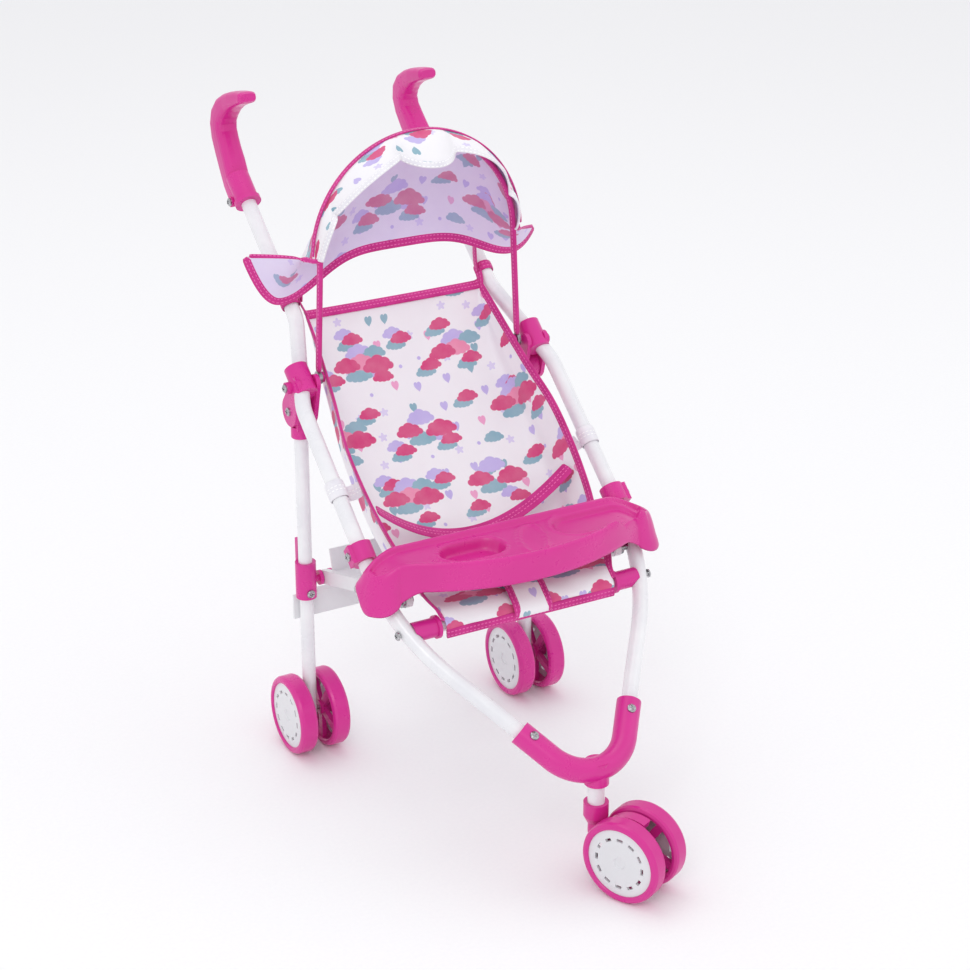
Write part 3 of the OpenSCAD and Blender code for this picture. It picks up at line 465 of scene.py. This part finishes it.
def grid(name, columns, rows, place):
    """Adds a grid and moves its points to place(u, v), u and v from 0 to 1, in millimetres."""
    bpy.ops.object.select_all(action="DESELECT")
    bpy.ops.mesh.primitive_grid_add(x_subdivisions=columns, y_subdivisions=rows, size=2)
    piece = bpy.context.object
    piece.name = piece.data.name = name
    mesh = piece.data
    flat = np.empty(len(mesh.vertices) * 3)
    mesh.vertices.foreach_get("co", flat)
    uv = np.round((flat.reshape(-1, 3)[:, :2] + 1) / 2, 6)
    us, vs = np.unique(uv[:, 0]), np.unique(uv[:, 1])
    column = np.searchsorted(us, uv[:, 0])
    line = np.searchsorted(vs, uv[:, 1])
    placed = np.array([[place(u, v) for v in vs] for u in us])
    mesh.vertices.foreach_set("co", (placed[column, line] * MM).ravel())
    steps_u = np.linalg.norm(np.diff(placed, axis=0), axis=2)
    steps_v = np.linalg.norm(np.diff(placed, axis=1), axis=2)
    run_u = np.vstack([np.zeros(len(vs)), np.cumsum(steps_u, axis=0)])
    run_u -= run_u[len(us) // 2]
    run_v = np.concatenate([[0.0], np.cumsum(steps_v[len(us) // 2])])
    layer = mesh.uv_layers.active
    layer.name = "cloth"
    for loop in mesh.loops:
        i, j = column[loop.vertex_index], line[loop.vertex_index]
        layer.data[loop.index].uv = (run_u[i, j] * MM, -run_v[j] * MM)
    mesh.update()
    return piece


def apply(piece, kind, name, **settings):
    only(piece)
    modifier = piece.modifiers.new(name, kind)
    for key, value in settings.items():
        setattr(modifier, key, value)
    bpy.ops.object.modifier_apply(modifier=modifier.name)


def smooth(piece, levels=1):
    if levels:
        apply(piece, "SUBSURF", "smooth", levels=levels, render_levels=levels)
    only(piece)
    bpy.ops.object.shade_smooth()


def tape(name, path, side, width, thick, material, body, closed=False, round_=2.6, levels=1):
    """A flat oval tape along a path of points. side gives, for each point, the width's direction."""
    path = np.array(path, float)
    side = np.array(side, float)
    side = np.broadcast_to(side, path.shape)
    forward = np.gradient(path, axis=0)
    if closed:
        forward = np.roll(path, -1, 0) - np.roll(path, 1, 0)
    forward /= np.linalg.norm(forward, axis=1)[:, None]
    across = side - forward * (side * forward).sum(1)[:, None]
    across /= np.linalg.norm(across, axis=1)[:, None]
    up = np.cross(forward, across)
    turns = 12
    ring = []
    for k in range(turns):
        a = 2 * math.pi * k / turns
        c, s = math.cos(a), math.sin(a)
        ring.append((math.copysign(abs(c) ** (2 / round_), c) * width / 2,
                     math.copysign(abs(s) ** (2 / round_), s) * thick / 2))
    count = len(path)
    rows = count if closed else count - 1

    def place(u, v):
        i = int(round(v * rows)) % count if closed else int(round(v * rows))
        w, t = ring[int(round(u * turns)) % turns]
        return path[i] + across[i] * w + up[i] * t

    piece = grid(name, turns, rows, place)
    lengths = np.concatenate([[0.0], np.cumsum(np.linalg.norm(np.diff(path, axis=0), axis=1))])
    layer = piece.data.uv_layers["cloth"]
    # the map runs along the tape, and across it from its middle
    for loop in piece.data.loops:
        co = np.array(piece.data.vertices[loop.vertex_index].co) / MM
        i = int(np.argmin(((path - co) ** 2).sum(1)))
        layer.data[loop.index].uv = (lengths[i] * MM, float((co - path[i]) @ across[i]) * MM)
    only(piece)
    bpy.ops.object.mode_set(mode="EDIT")
    bpy.ops.mesh.select_all(action="SELECT")
    bpy.ops.mesh.remove_doubles(threshold=1e-6)
    if not closed:
        bpy.ops.mesh.select_all(action="DESELECT")
        bpy.ops.mesh.select_mode(type="EDGE")
        bpy.ops.mesh.select_non_manifold()
        bpy.ops.mesh.fill_holes(sides=0)
    bpy.ops.mesh.select_all(action="SELECT")
    bpy.ops.mesh.normals_make_consistent(inside=False)
    bpy.ops.object.mode_set(mode="OBJECT")
    smooth(piece, levels)
    piece.data.materials.clear()
    piece.data.materials.append(material)
    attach(piece, body)
    return piece

# %% [markdown]
# The seat is one sling of printed cloth. It hangs from its two side edges, runs down as a flat back
# panel with a gusset on each side, turns under the child's legs and wraps round the front crossbar.
# A few rows give its section: the bound edge, the crease where gusset and panel meet, and how far
# the panel sags. A smooth curve joins the rows, and weak ripples make it cloth rather than board.

# %% Seat sling
# each row: edge [x, s, h], crease [x, s, h], sag at the middle
SEAT_ROWS = [
    [83, -74, -1, 78, -74, -3, 1], [85, -50, 1, 78, -50, -14, 3], [88, -20, 2, 79, -20, -24, 4],
    [92, 15, 3, 81, 15, -31, 4], [98, 55, 4, 84, 55, -35, 4], [98, 100, 4, 84, 100, -38, 4],
    [95, 135, 4, 81, 135, -39, 3], [91, 160, 4, 79, 152, -37, 2], [89, 180, 5, 77, 172, -27, 2],
    [85, 200, 6, 75, 194, -10, 1], [79, 214, 7, 73, 212, 6.5, 0.5], [78, 226, 7.6, 72, 226, 7.6, 0],
    [78, 233, 1, 72, 233, 1, 0]]
SEAT_COLUMNS, SEAT_LINES = 64, 96
seat_rows = spline(SEAT_ROWS, SEAT_LINES)


def seat_section(row):
    """Nine places across the sling, from the left edge to the right."""
    e, c, sag = row[0:3], row[3:6], row[6]
    half = [e, [(e[0] + c[0]) / 2 + 1.0, (e[1] + c[1]) / 2, (e[2] + c[2]) / 2], c,
            [c[0] * 0.55, c[1], c[2] - sag * 0.7]]
    left = [[-p[0], p[1], p[2]] for p in half]
    return left + [[0, c[1], c[2] - sag]] + [list(p) for p in half[::-1]]


seat_curves = [spline(seat_section(row), SEAT_COLUMNS) for row in seat_rows]


def seat_place(u, v):
    p = seat_curves[int(round(v * SEAT_LINES))][int(round(u * SEAT_COLUMNS))]
    inner = step(0.0, 0.12, u) * step(1.0, 0.88, u) * step(0.0, 0.06, v) * step(1.0, 0.93, v)
    low = step(70, 140, p[1])
    lift = inner * (1.3 * ripple(p, 42, 1.0) + (0.5 + 1.2 * low) * ripple(p, 17, 5.0))
    pull = inner * low * 1.0 * math.sin(p[0] / 7.5) * step(60, 10, abs(p[0]))
    return raked(p[0], p[1], p[2] + 1.0 + lift + pull)


seat = grid("seat_cover", SEAT_COLUMNS, SEAT_LINES, seat_place)
seat.data.materials.append(print_face)
seat.data.materials.append(print_back_painted_shade)
apply(seat, "SOLIDIFY", "cloth", thickness=1.0 * MM, offset=0.0)
smooth(seat)
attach(seat, "frame")
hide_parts("seat_sling")

# %% [markdown]
# The seat's edges are bound. The two side bindings run from the top corners down to the crossbar and
# stand on the edge of each gusset, the top binding crosses behind the doll's head, and a hem closes
# the cloth's lower end under the crossbar.

# %% Seat bindings
def seat_edge(column, lift=1.0, lines=range(0, SEAT_LINES + 1, 2)):
    return np.array([raked(*(seat_curves[j][column] + np.array([0, 0, lift]))) for j in lines])


for side_name, column, sign in (("left", 0, -1), ("right", SEAT_COLUMNS, 1)):
    path = seat_edge(column, 0.6, range(0, 88, 2))
    inward = np.array([raked(*seat_curves[j][column + (3 if sign < 0 else -3)])
                       for j in range(0, 88, 2)]) - path
    tape(f"seat_edge_tape_{side_name}", path, inward, 8.5, 2.6, pink_tape, "frame")
top_path = np.array([raked(*seat_curves[0][i]) + np.array([0, 0, 1.2])
                     for i in range(0, SEAT_COLUMNS + 1, 2)])
tape("seat_top_tape", top_path, raked(0, 1, 0.12) - raked(0, 0, 0), 9.5, 3.0,
                     pink_tape, "frame")
hem_path = np.array([raked(*seat_curves[SEAT_LINES - 2][i]) for i in range(0, SEAT_COLUMNS + 1, 2)])
up_cloth = np.array([raked(*seat_curves[SEAT_LINES - 6][i])
                     for i in range(0, SEAT_COLUMNS + 1, 2)]) - hem_path
tape("seat_front_hem", hem_path + raked(0, 0.8, 0.6) - raked(0, 0, 0), up_cloth,
                     8.5, 3.4, pink_tape, "frame")

# %% [markdown]
# The doll is held by a lap belt that hangs in a shallow curve between the side edges, and by a
# crotch strap: a printed strip between two pink tapes, which rises from the seat, goes over the
# crossbar and ends at the hem.

# %% Lap belt and crotch strap
BELT_X, BELT_S, BELT_SAG, BELT_DROP = 91, 112, 26, 30
belt_path = []
for x in np.linspace(-BELT_X, BELT_X, 60):
    dip = 1 - (x / BELT_X) ** 2
    belt_path.append(raked(x, BELT_S + BELT_SAG * dip, -2 - BELT_DROP * dip))
belt = tape("lap_strap", belt_path, raked(0, 1, 0.25) - raked(0, 0, 0), 13.0, 1.8, pink_tape, "frame")
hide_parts("lap_belt")

STRAP_PATH = [[234.6, 3.5], [231.8, 8.4], [226, 10.3], [219, 10.3], [211, 10], [203, 7], [194, -1],
              [183, -10], [172, -17.4], [162, -23.5], [154, -28]]
STRAP_LINES, STRAP_HALF = 30, 15


strap_points = spline(STRAP_PATH, STRAP_LINES)


def strap_line(x):
    return np.array([raked(x, p[0], p[1]) for p in strap_points])


def strap_place(u, v):
    p = strap_points[::-1][int(round(v * STRAP_LINES))]
    return raked(STRAP_HALF * (2 * u - 1), p[0], p[1] + 0.8)


strip = grid("crotch_strip", 10, STRAP_LINES, strap_place)
strip.data.materials.append(print_face)
apply(strip, "SOLIDIFY", "cloth", thickness=1.2 * MM, offset=0.0)
smooth(strip)
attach(strip, "frame")
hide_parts("crotch_strap")
for side_name, x in (("left", -14.5), ("right", 14.5)):
    edge = tape(f"crotch_tape_{side_name}", strap_line(x) + np.array([0, 0, 0.9]), (1, 0, 0), 6.5, 2.4,
                pink_tape, "frame")
print("lap strap and crotch strap")

# %% [markdown]
# Short tapes tie the seat to the frame. One at each top corner loops round the tube, with a loose
# end, and a white hook-and-loop tab closes round each tube half way down.

# %% Ties and tabs
def loop_round(name, x, s, width, thick, material, radius=7.6, body="frame"):
    """A band round a main tube."""
    path = [raked(x + radius * math.cos(a), s, radius * math.sin(a))
            for a in np.linspace(0, 2 * math.pi, 24, endpoint=False)]
    return tape(name, path, raked(0, 1, 0) - raked(0, 0, 0), width, thick, material, body, closed=True)


for side_name, sign in (("left", -1), ("right", 1)):
    band = loop_round(f"corner_band_{side_name}", sign * HANDLE_X, -88, 9.0, 1.5, pink_tape)
    reach = spline([[83, -72, 0.5], [84.5, -78, 2.5], [85.4, -84, 3.0], [85.2, -90, 4.5]], 12)
    tie = tape(f"corner_tie_{side_name}", [raked(sign * p[0], p[1], p[2]) for p in reach],
               raked(sign * 0.4, 0, 1) - raked(0, 0, 0), 8.0, 1.6, pink_tape, "frame")
    end = spline([[84.6, -86, 2.0], [83.6, -93, 9.0], [82.4, -99, 18.0], [80.6, -103, 27.0]], 14)
    loose = tape(f"corner_end_{side_name}", [raked(sign * p[0], p[1], p[2]) for p in end],
                 raked(0, 1, 0.2) - raked(0, 0, 0), 8.0, 1.5, pink_tape, "frame")
    if sign < 0:
        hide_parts("corner_straps")
    tab = loop_round(f"tab_band_{side_name}", sign * SEAT_X, 90, 16.0, 1.3, white_tape)
    tail = spline([[112, 90, -5.5], [107, 91, -7.5], [101, 91.5, -5.0], [97.5, 92, 1.0]], 10)
    flap = tape(f"tab_tail_{side_name}", [raked(sign * p[0], p[1], p[2]) for p in tail],
                raked(0, 1, 0) - raked(0, 0, 0), 14.0, 1.3, white_tape, "frame")
    if sign < 0:
        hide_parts("hook_tabs")
print("ties and tabs")

# %% [markdown]
# The canopy is one continuous sheet over a wire bow. It falls forward to a soft visor with a white
# hem, and back to a rim whose ends flare out as two corner flaps. Gathers run from the bow down to
# the rim, and the visor, which has no wire in its edge, sags in three petals between its pinches.

# %% Canopy sheet
BOW_Y = RAKE_Y + 14 * math.cos(RAKE)
BOW_Z = RAKE_Z + 14 * math.sin(RAKE)
BOW_X, BOW_LEG_Z, BOW_FOOT_X = 90.0, 452.0, 94.5
bow_lean = math.atan2(BOW_FOOT_X - BOW_X, BOW_LEG_Z - BOW_Z)
bow_arc = BOW_X / math.cos(bow_lean)
bow_mid_z = BOW_LEG_Z - bow_arc * math.sin(bow_lean)
WIRE_R, CASING_T, CANOPY_GAP = 1.6, 1.8, 2.9
CANOPY_R = bow_arc + WIRE_R + CASING_T + CANOPY_GAP


FLAP_X, FLAP_FROM = 136, 0.8   # the flaps' reach, and where across the rim they begin
RIM_BACK, RIM_Z = 34.3, 440
LEFT_FLAP, RIGHT_FLAP = (34, 40), (24, 14)   # dip of the rim beside a flap, and lift of its tip


def rear_rim(a):
    """The back rim. The left flap hangs fuller than the right one."""
    f = abs(a) / 90
    dip, lift = LEFT_FLAP if a < 0 else RIGHT_FLAP
    return np.array([math.copysign(FLAP_X * f ** 0.9, a), BOW_Y + RIM_BACK + 10 * f ** 6,
                     RIM_Z - dip * math.sin(math.radians(90 * min(1, f / FLAP_FROM))) ** 4
                     + lift * max(0.0, (f - FLAP_FROM) / (1 - FLAP_FROM)) ** 2])


# angle of each pinch, and how far the petal after it sags
PINCHES = [(-90, 0.0), (-60, 3.0), (-14, 16.0), (17, 1.0), (64, 0.0), (90, 0.0)]


def visor_petal(a):
    """Where the visor stands between two pinches: 0 at a pinch and 1 half way, and the petal's sag."""
    for (low, sag), (high, _) in zip(PINCHES, PINCHES[1:]):
        if a <= high:
            arch = math.sin(math.pi * max(0.0, a - low) / (high - low)) ** 0.6
            return arch, sag * arch
    return 0.0, 0.0


def canopy_point(a, t):
    """a runs over the bow from -90 to 90, t from -1 at the visor to 1 at the back rim."""
    rad = math.radians(a)
    b = np.array([CANOPY_R * math.sin(rad), BOW_Y, bow_mid_z + CANOPY_R * math.cos(rad)])
    c = math.cos(rad)
    if t < 0:
        petal, sag = visor_petal(a)
        reach = (7 + 24 * c) * (0.35 + 0.65 * petal)
        p = b + np.array([0.05 * t * b[0], t * reach, -t * t * c ** 0.5 * (6 + 7 * (1 - petal) + sag)])
    else:
        r = rear_rim(a)
        p = np.array([b[0] + (r[0] - b[0]) * t ** 1.6,
                      b[1] + (r[1] - b[1]) * t + 18 * math.sin(math.pi * t) * c,
                      b[2] + (r[2] - b[2]) * t ** 0.9])
    fold = math.sin(math.pi * min(1.0, abs(t) * 1.15)) * c ** 0.3
    normal = np.array([math.sin(rad), 0.35 * t, c])
    wave = 1.5 * math.sin(math.radians(a) * 15 + 0.8 * math.sin(3 * t)) + 1.6 * ripple(p, 30, 2.0)
    return p + normal * fold * wave * (0.55 if t < 0 else 1.0)


CANOPY_COLUMNS, CANOPY_LINES = 120, 64


def canopy_place(u, v):
    return canopy_point(max(-90.0, min(90.0, 180 * u - 90)), 2 * v - 1)


canopy = grid("canopy_cover", CANOPY_COLUMNS, CANOPY_LINES, canopy_place)
canopy.data.materials.append(print_face)
canopy.data.materials.append(print_back_painted_shade)
top = max(canopy.data.polygons, key=lambda face: face.center.z)
if top.normal.z < 0:
    canopy.data.flip_normals()
# the inner side takes the reverse cloth, with its painted lilac shade
apply(canopy, "SOLIDIFY", "cloth", thickness=1.0 * MM, offset=-1.0, material_offset=1)
smooth(canopy)
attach(canopy, "canopy")
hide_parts("canopy")

# %% [markdown]
# Pink tape binds the back rim and its flaps, and a narrower white hem the visor. The bow itself runs
# in a sleeve of the same pink tape, which shows as two straps from the canopy down to the clamps, and
# as a seam over the top.

# %% Canopy bindings
angles = np.linspace(-90, 90, 121)
rim = np.array([canopy_point(a, 1.0) for a in angles])
inside = np.array([canopy_point(a, 0.93) for a in angles])
tape("canopy_rim_tape", rim, inside - rim, 9.0, 2.6, pink_tape, "canopy")
hem = np.array([canopy_point(a, -1.0) for a in angles])
inner = np.array([canopy_point(a, -0.9) for a in angles])
tape("visor_hem", hem, inner - hem, 5.5, 2.0, white_tape, "canopy")
for side_name, a in (("left", -90.0), ("right", 90.0)):
    ts = np.linspace(-0.96, 0.97, 50)
    edge = np.array([canopy_point(a, t) for t in ts])
    inward = np.array([canopy_point(a * 0.93, t) for t in ts]) - edge
    tape(f"canopy_side_tape_{side_name}", edge, inward, 4.5, 2.0, pink_tape, "canopy")
over = np.array([canopy_point(a, 0.0) + np.array([math.sin(math.radians(a)), 0,
                                                  math.cos(math.radians(a))]) * 0.6
                 for a in np.linspace(-88, 88, 90)])
tape("canopy_bow_seam", over, (0, 1, 0), 5.5, 1.8, pink_tape, "canopy")
legs = []
for k in range(15):
    t = k / 14
    legs.append((BOW_FOOT_X + (BOW_X - BOW_FOOT_X) * t, BOW_Z + 4 + (BOW_LEG_Z - BOW_Z - 4) * t))
arc = [(bow_arc * math.cos(a), bow_mid_z + bow_arc * math.sin(a))
       for a in np.linspace(bow_lean, math.pi - bow_lean, 70)][1:-1]
outline = legs + arc + [(-x, z) for x, z in legs[::-1]]
sleeve = tape("bow_sleeve", [(x, BOW_Y, z) for x, z in outline], (0, 1, 0), 8.0, 4.6, pink_tape,
              "canopy", round_=2.0)
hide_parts("bow_binding")

# %% [markdown]
# The bumper tray is one moulded shell. Its top is a recessed panel with a raised rim, a round-ended
# cup well, a shallow dish, a raised curl between them and a small square boss. A deep skirt falls
# from the rim all round, bows out at the front and reaches down at the ends as two pointed wings.
# The panel is a grid whose points are placed by its outline and depth, and the skirt is extruded
# from its border in four steps.

# %% Tray panel
TRAY_HALF, TRAY_TURN, TRAY_TOP = 129.0, 110.0, 252.0
TRAY_BACK, TRAY_NOSE = -60.0, -124.0
BOWED = 34.0
NOSE_R = (TRAY_TURN ** 2 + BOWED ** 2) / (2 * BOWED)
CUP = (-44.0, -89.0, 16.5, 22.0)     # middle, radius and length of the straight part
DISH = (74.0, -86.0, 19.0, 44.0)
PANEL_DEEP, CUP_DEEP, DISH_DEEP = 3.6, 13.0, 7.6
END_FROM, END_DROP = 98.0, 13.0      # the ends of the tray slope down from here


def tray_edges(x):
    """Where the tray begins and ends, front to back, at a place across it."""
    end = min(1.0, max(0.0, (abs(x) - TRAY_TURN) / (TRAY_HALF - TRAY_TURN)))
    turn = 1 - math.sqrt(max(0.0, 1 - end * end))
    reach = min(abs(x), TRAY_TURN)
    front = TRAY_NOSE + NOSE_R - math.sqrt(NOSE_R ** 2 - reach ** 2)
    return front + 14.0 * turn, TRAY_BACK - 14.0 * turn


def stadium(x, y, shape):
    """Distance from the border of a round-ended slot, negative inside."""
    cx, cy, radius, straight = shape
    dx = max(0.0, abs(x - cx) - straight / 2)
    return math.hypot(dx, y - cy) - radius


def tray_depth(x, y, edge):
    """How far the panel lies under the rim."""
    depth = PANEL_DEEP * step(2.6, 5.6, edge)
    depth = max(depth, CUP_DEEP * step(0.5, -2.6, stadium(x, y, CUP)))
    depth = max(depth, DISH_DEEP * step(0.8, -4.0, stadium(x, y, DISH)))
    lip = max(0.0, 1 - abs(stadium(x, y, CUP) - 1.8) / 1.8) * 1.4
    lip = max(lip, max(0.0, 1 - abs(stadium(x, y, DISH) - 2.0) / 2.0) * 1.2)
    curl = math.hypot(x - 8 - 0.25 * (y + 95), (y + 95) * 0.5 - 0.18 * (x - 8)) - 12
    lip = max(lip, step(2.2, 0.4, abs(curl)) * 1.6 * step(8.0, 11.0, edge))
    boss = max(abs(x - 116), abs(y + 92)) - 4.2
    lip = max(lip, step(0.8, -0.4, boss) * 1.8)
    return depth - lip + END_DROP * step(END_FROM, 137.0, abs(x))


def tray_place(u, v):
    x = TRAY_HALF * math.sin((2 * u - 1) * math.pi / 2)
    front, back = tray_edges(x)
    y = front + (back - front) * v
    ends = (TRAY_HALF - abs(x)) * 0.9 + 0.4
    edge = min(y - front, back - y, ends)
    return np.array([x, y, TRAY_TOP - tray_depth(x, y, edge)])


tray = grid("tray_shell", 170, 46, tray_place)
only(tray)
bpy.ops.object.mode_set(mode="EDIT")
bpy.ops.mesh.select_all(action="SELECT")
bpy.ops.mesh.remove_doubles(threshold=0.00005)
bpy.ops.object.mode_set(mode="OBJECT")
print("tray panel:", len(tray.data.vertices), "points")


# %% [markdown]
# The skirt grows from the panel's border. Each extrusion moves the new ring outward and down a share
# of the way to its lower edge, which dips at the wings and rises behind, above the seat.

# %% Tray skirt
SKIRT_LOW, BACK_LOW, WING = 227.5, 243.5, 17.5


def skirt_bottom(x, y):
    """Height of the skirt's lower edge."""
    behind = step(-70.0, -64.0, y) * step(112.0, 104.0, abs(x))
    wing = step(92.0, 124.0, abs(x)) * WING * step(-66.0, -80.0, y)
    return (SKIRT_LOW - wing) * (1 - behind) + BACK_LOW * behind


END_FLARE = 8.5
SKIRT = [(0.9, 0.06), (1.6, 0.3), (1.0, 0.65), (2.2, 1.0)]   # outward step and share of the depth
only(tray)
bpy.ops.object.mode_set(mode="EDIT")
bpy.ops.mesh.select_mode(type="EDGE")
bpy.ops.mesh.select_all(action="DESELECT")
bpy.ops.mesh.select_non_manifold()
bpy.ops.object.mode_set(mode="OBJECT")
border = {v.index: np.array(v.co) / MM for v in tray.data.vertices if v.select}
order = sorted(border, key=lambda i: math.atan2(border[i][1] + 90.0, border[i][0]))
ring = np.array([border[i] for i in order])
tangent = np.roll(ring, -1, 0) - np.roll(ring, 1, 0)
outward = np.stack([tangent[:, 1], -tangent[:, 0], np.zeros(len(ring))], 1)
outward /= np.linalg.norm(outward, axis=1)[:, None] + 1e-9
for reach, share in SKIRT:
    bpy.ops.object.mode_set(mode="EDIT")
    bpy.ops.mesh.extrude_region_move()
    bpy.ops.object.mode_set(mode="OBJECT")
    for vertex in tray.data.vertices:
        if vertex.select:
            here = np.array(vertex.co) / MM
            k = int(np.argmin(((ring[:, :2] - here[:2]) ** 2).sum(1)))
            low = skirt_bottom(ring[k][0], ring[k][1])
            flare = END_FLARE * share * step(END_FROM, 127.0, abs(ring[k][0]))
            out = ring[k] + outward[k] * min(reach + flare, 138.4 - abs(ring[k][0]))
            vertex.co = Vector((out[0], out[1], ring[k][2] + (low - ring[k][2]) * share)) * MM
only(tray)
bpy.ops.object.mode_set(mode="EDIT")
bpy.ops.mesh.select_all(action="SELECT")
bpy.ops.mesh.normals_make_consistent(inside=False)
bpy.ops.object.mode_set(mode="OBJECT")
top = max(tray.data.polygons, key=lambda face: face.center.z)
if top.normal.z < 0:
    tray.data.flip_normals()
apply(tray, "SOLIDIFY", "wall", thickness=2.2 * MM, offset=-1.0)
smooth(tray)
tray.data.materials.clear()
tray.data.materials.append(pink_abs)
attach(tray, "frame")
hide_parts("bumper_tray")
print("tray:", len(tray.data.polygons), "faces")

# %% [markdown]
# The stroller stands on a plain pale floor under three large soft lights, as in a small studio. The
# camera looks down a little from the left front, with a long lens.

# %% Floor, lights and camera
bpy.ops.object.select_all(action="DESELECT")
bpy.ops.mesh.primitive_plane_add(size=14)
floor = bpy.context.object
floor.name = "studio_floor"
paper, tree, surface = start_material("pale studio paper", 0.9, Specular_IOR_Level=0.2)
place = add(tree, "ShaderNodeTexCoord").outputs["Object"]
tooth = add(tree, "ShaderNodeTexNoise", {"Vector": place, "Scale": 300.0, "Detail": 3.0}).outputs[0]
link(tree, mixed(tree, tooth, linear("FDFDFD"), linear("F7F7F9")), surface, "Base Color")
floor.data.materials.append(paper)

world = bpy.data.worlds.new("soft studio")
bpy.context.scene.world = world
world.use_nodes = True
world.node_tree.nodes["Background"].inputs[0].default_value = linear("FDFDFF")
world.node_tree.nodes["Background"].inputs[1].default_value = 0.88
LIGHTS = [("key", (-1.5, -1.9, 2.3), 1.3, 14.0), ("fill", (2.0, -1.1, 1.6), 1.8, 3.0),
          ("top", (0.0, 0.7, 2.7), 1.6, 8.0)]
for name, at, size, power in LIGHTS:
    light = bpy.data.lights.new(name, "AREA")
    light.size, light.energy = size, power
    lamp = bpy.data.objects.new(name, light)
    bpy.context.collection.objects.link(lamp)
    lamp.location = at
    lamp.rotation_euler = (Vector((0, 0, 0.25)) - Vector(at)).to_track_quat("-Z", "Y").to_euler()

EYE, AIM = Vector((-0.86162, -1.56745, 1.04406)), Vector((0.00943, -0.014, 0.26443))
lens = bpy.data.cameras.new("camera")
lens.lens, lens.sensor_width, lens.clip_end = 87.1, 36.0, 50.0
camera = bpy.data.objects.new("camera", lens)
bpy.context.collection.objects.link(camera)
camera.location = EYE
camera.rotation_euler = (AIM - EYE).to_track_quat("-Z", "Y").to_euler()
bpy.context.scene.camera = camera
bpy.context.scene.view_settings.view_transform = "Standard"
print("stage set")
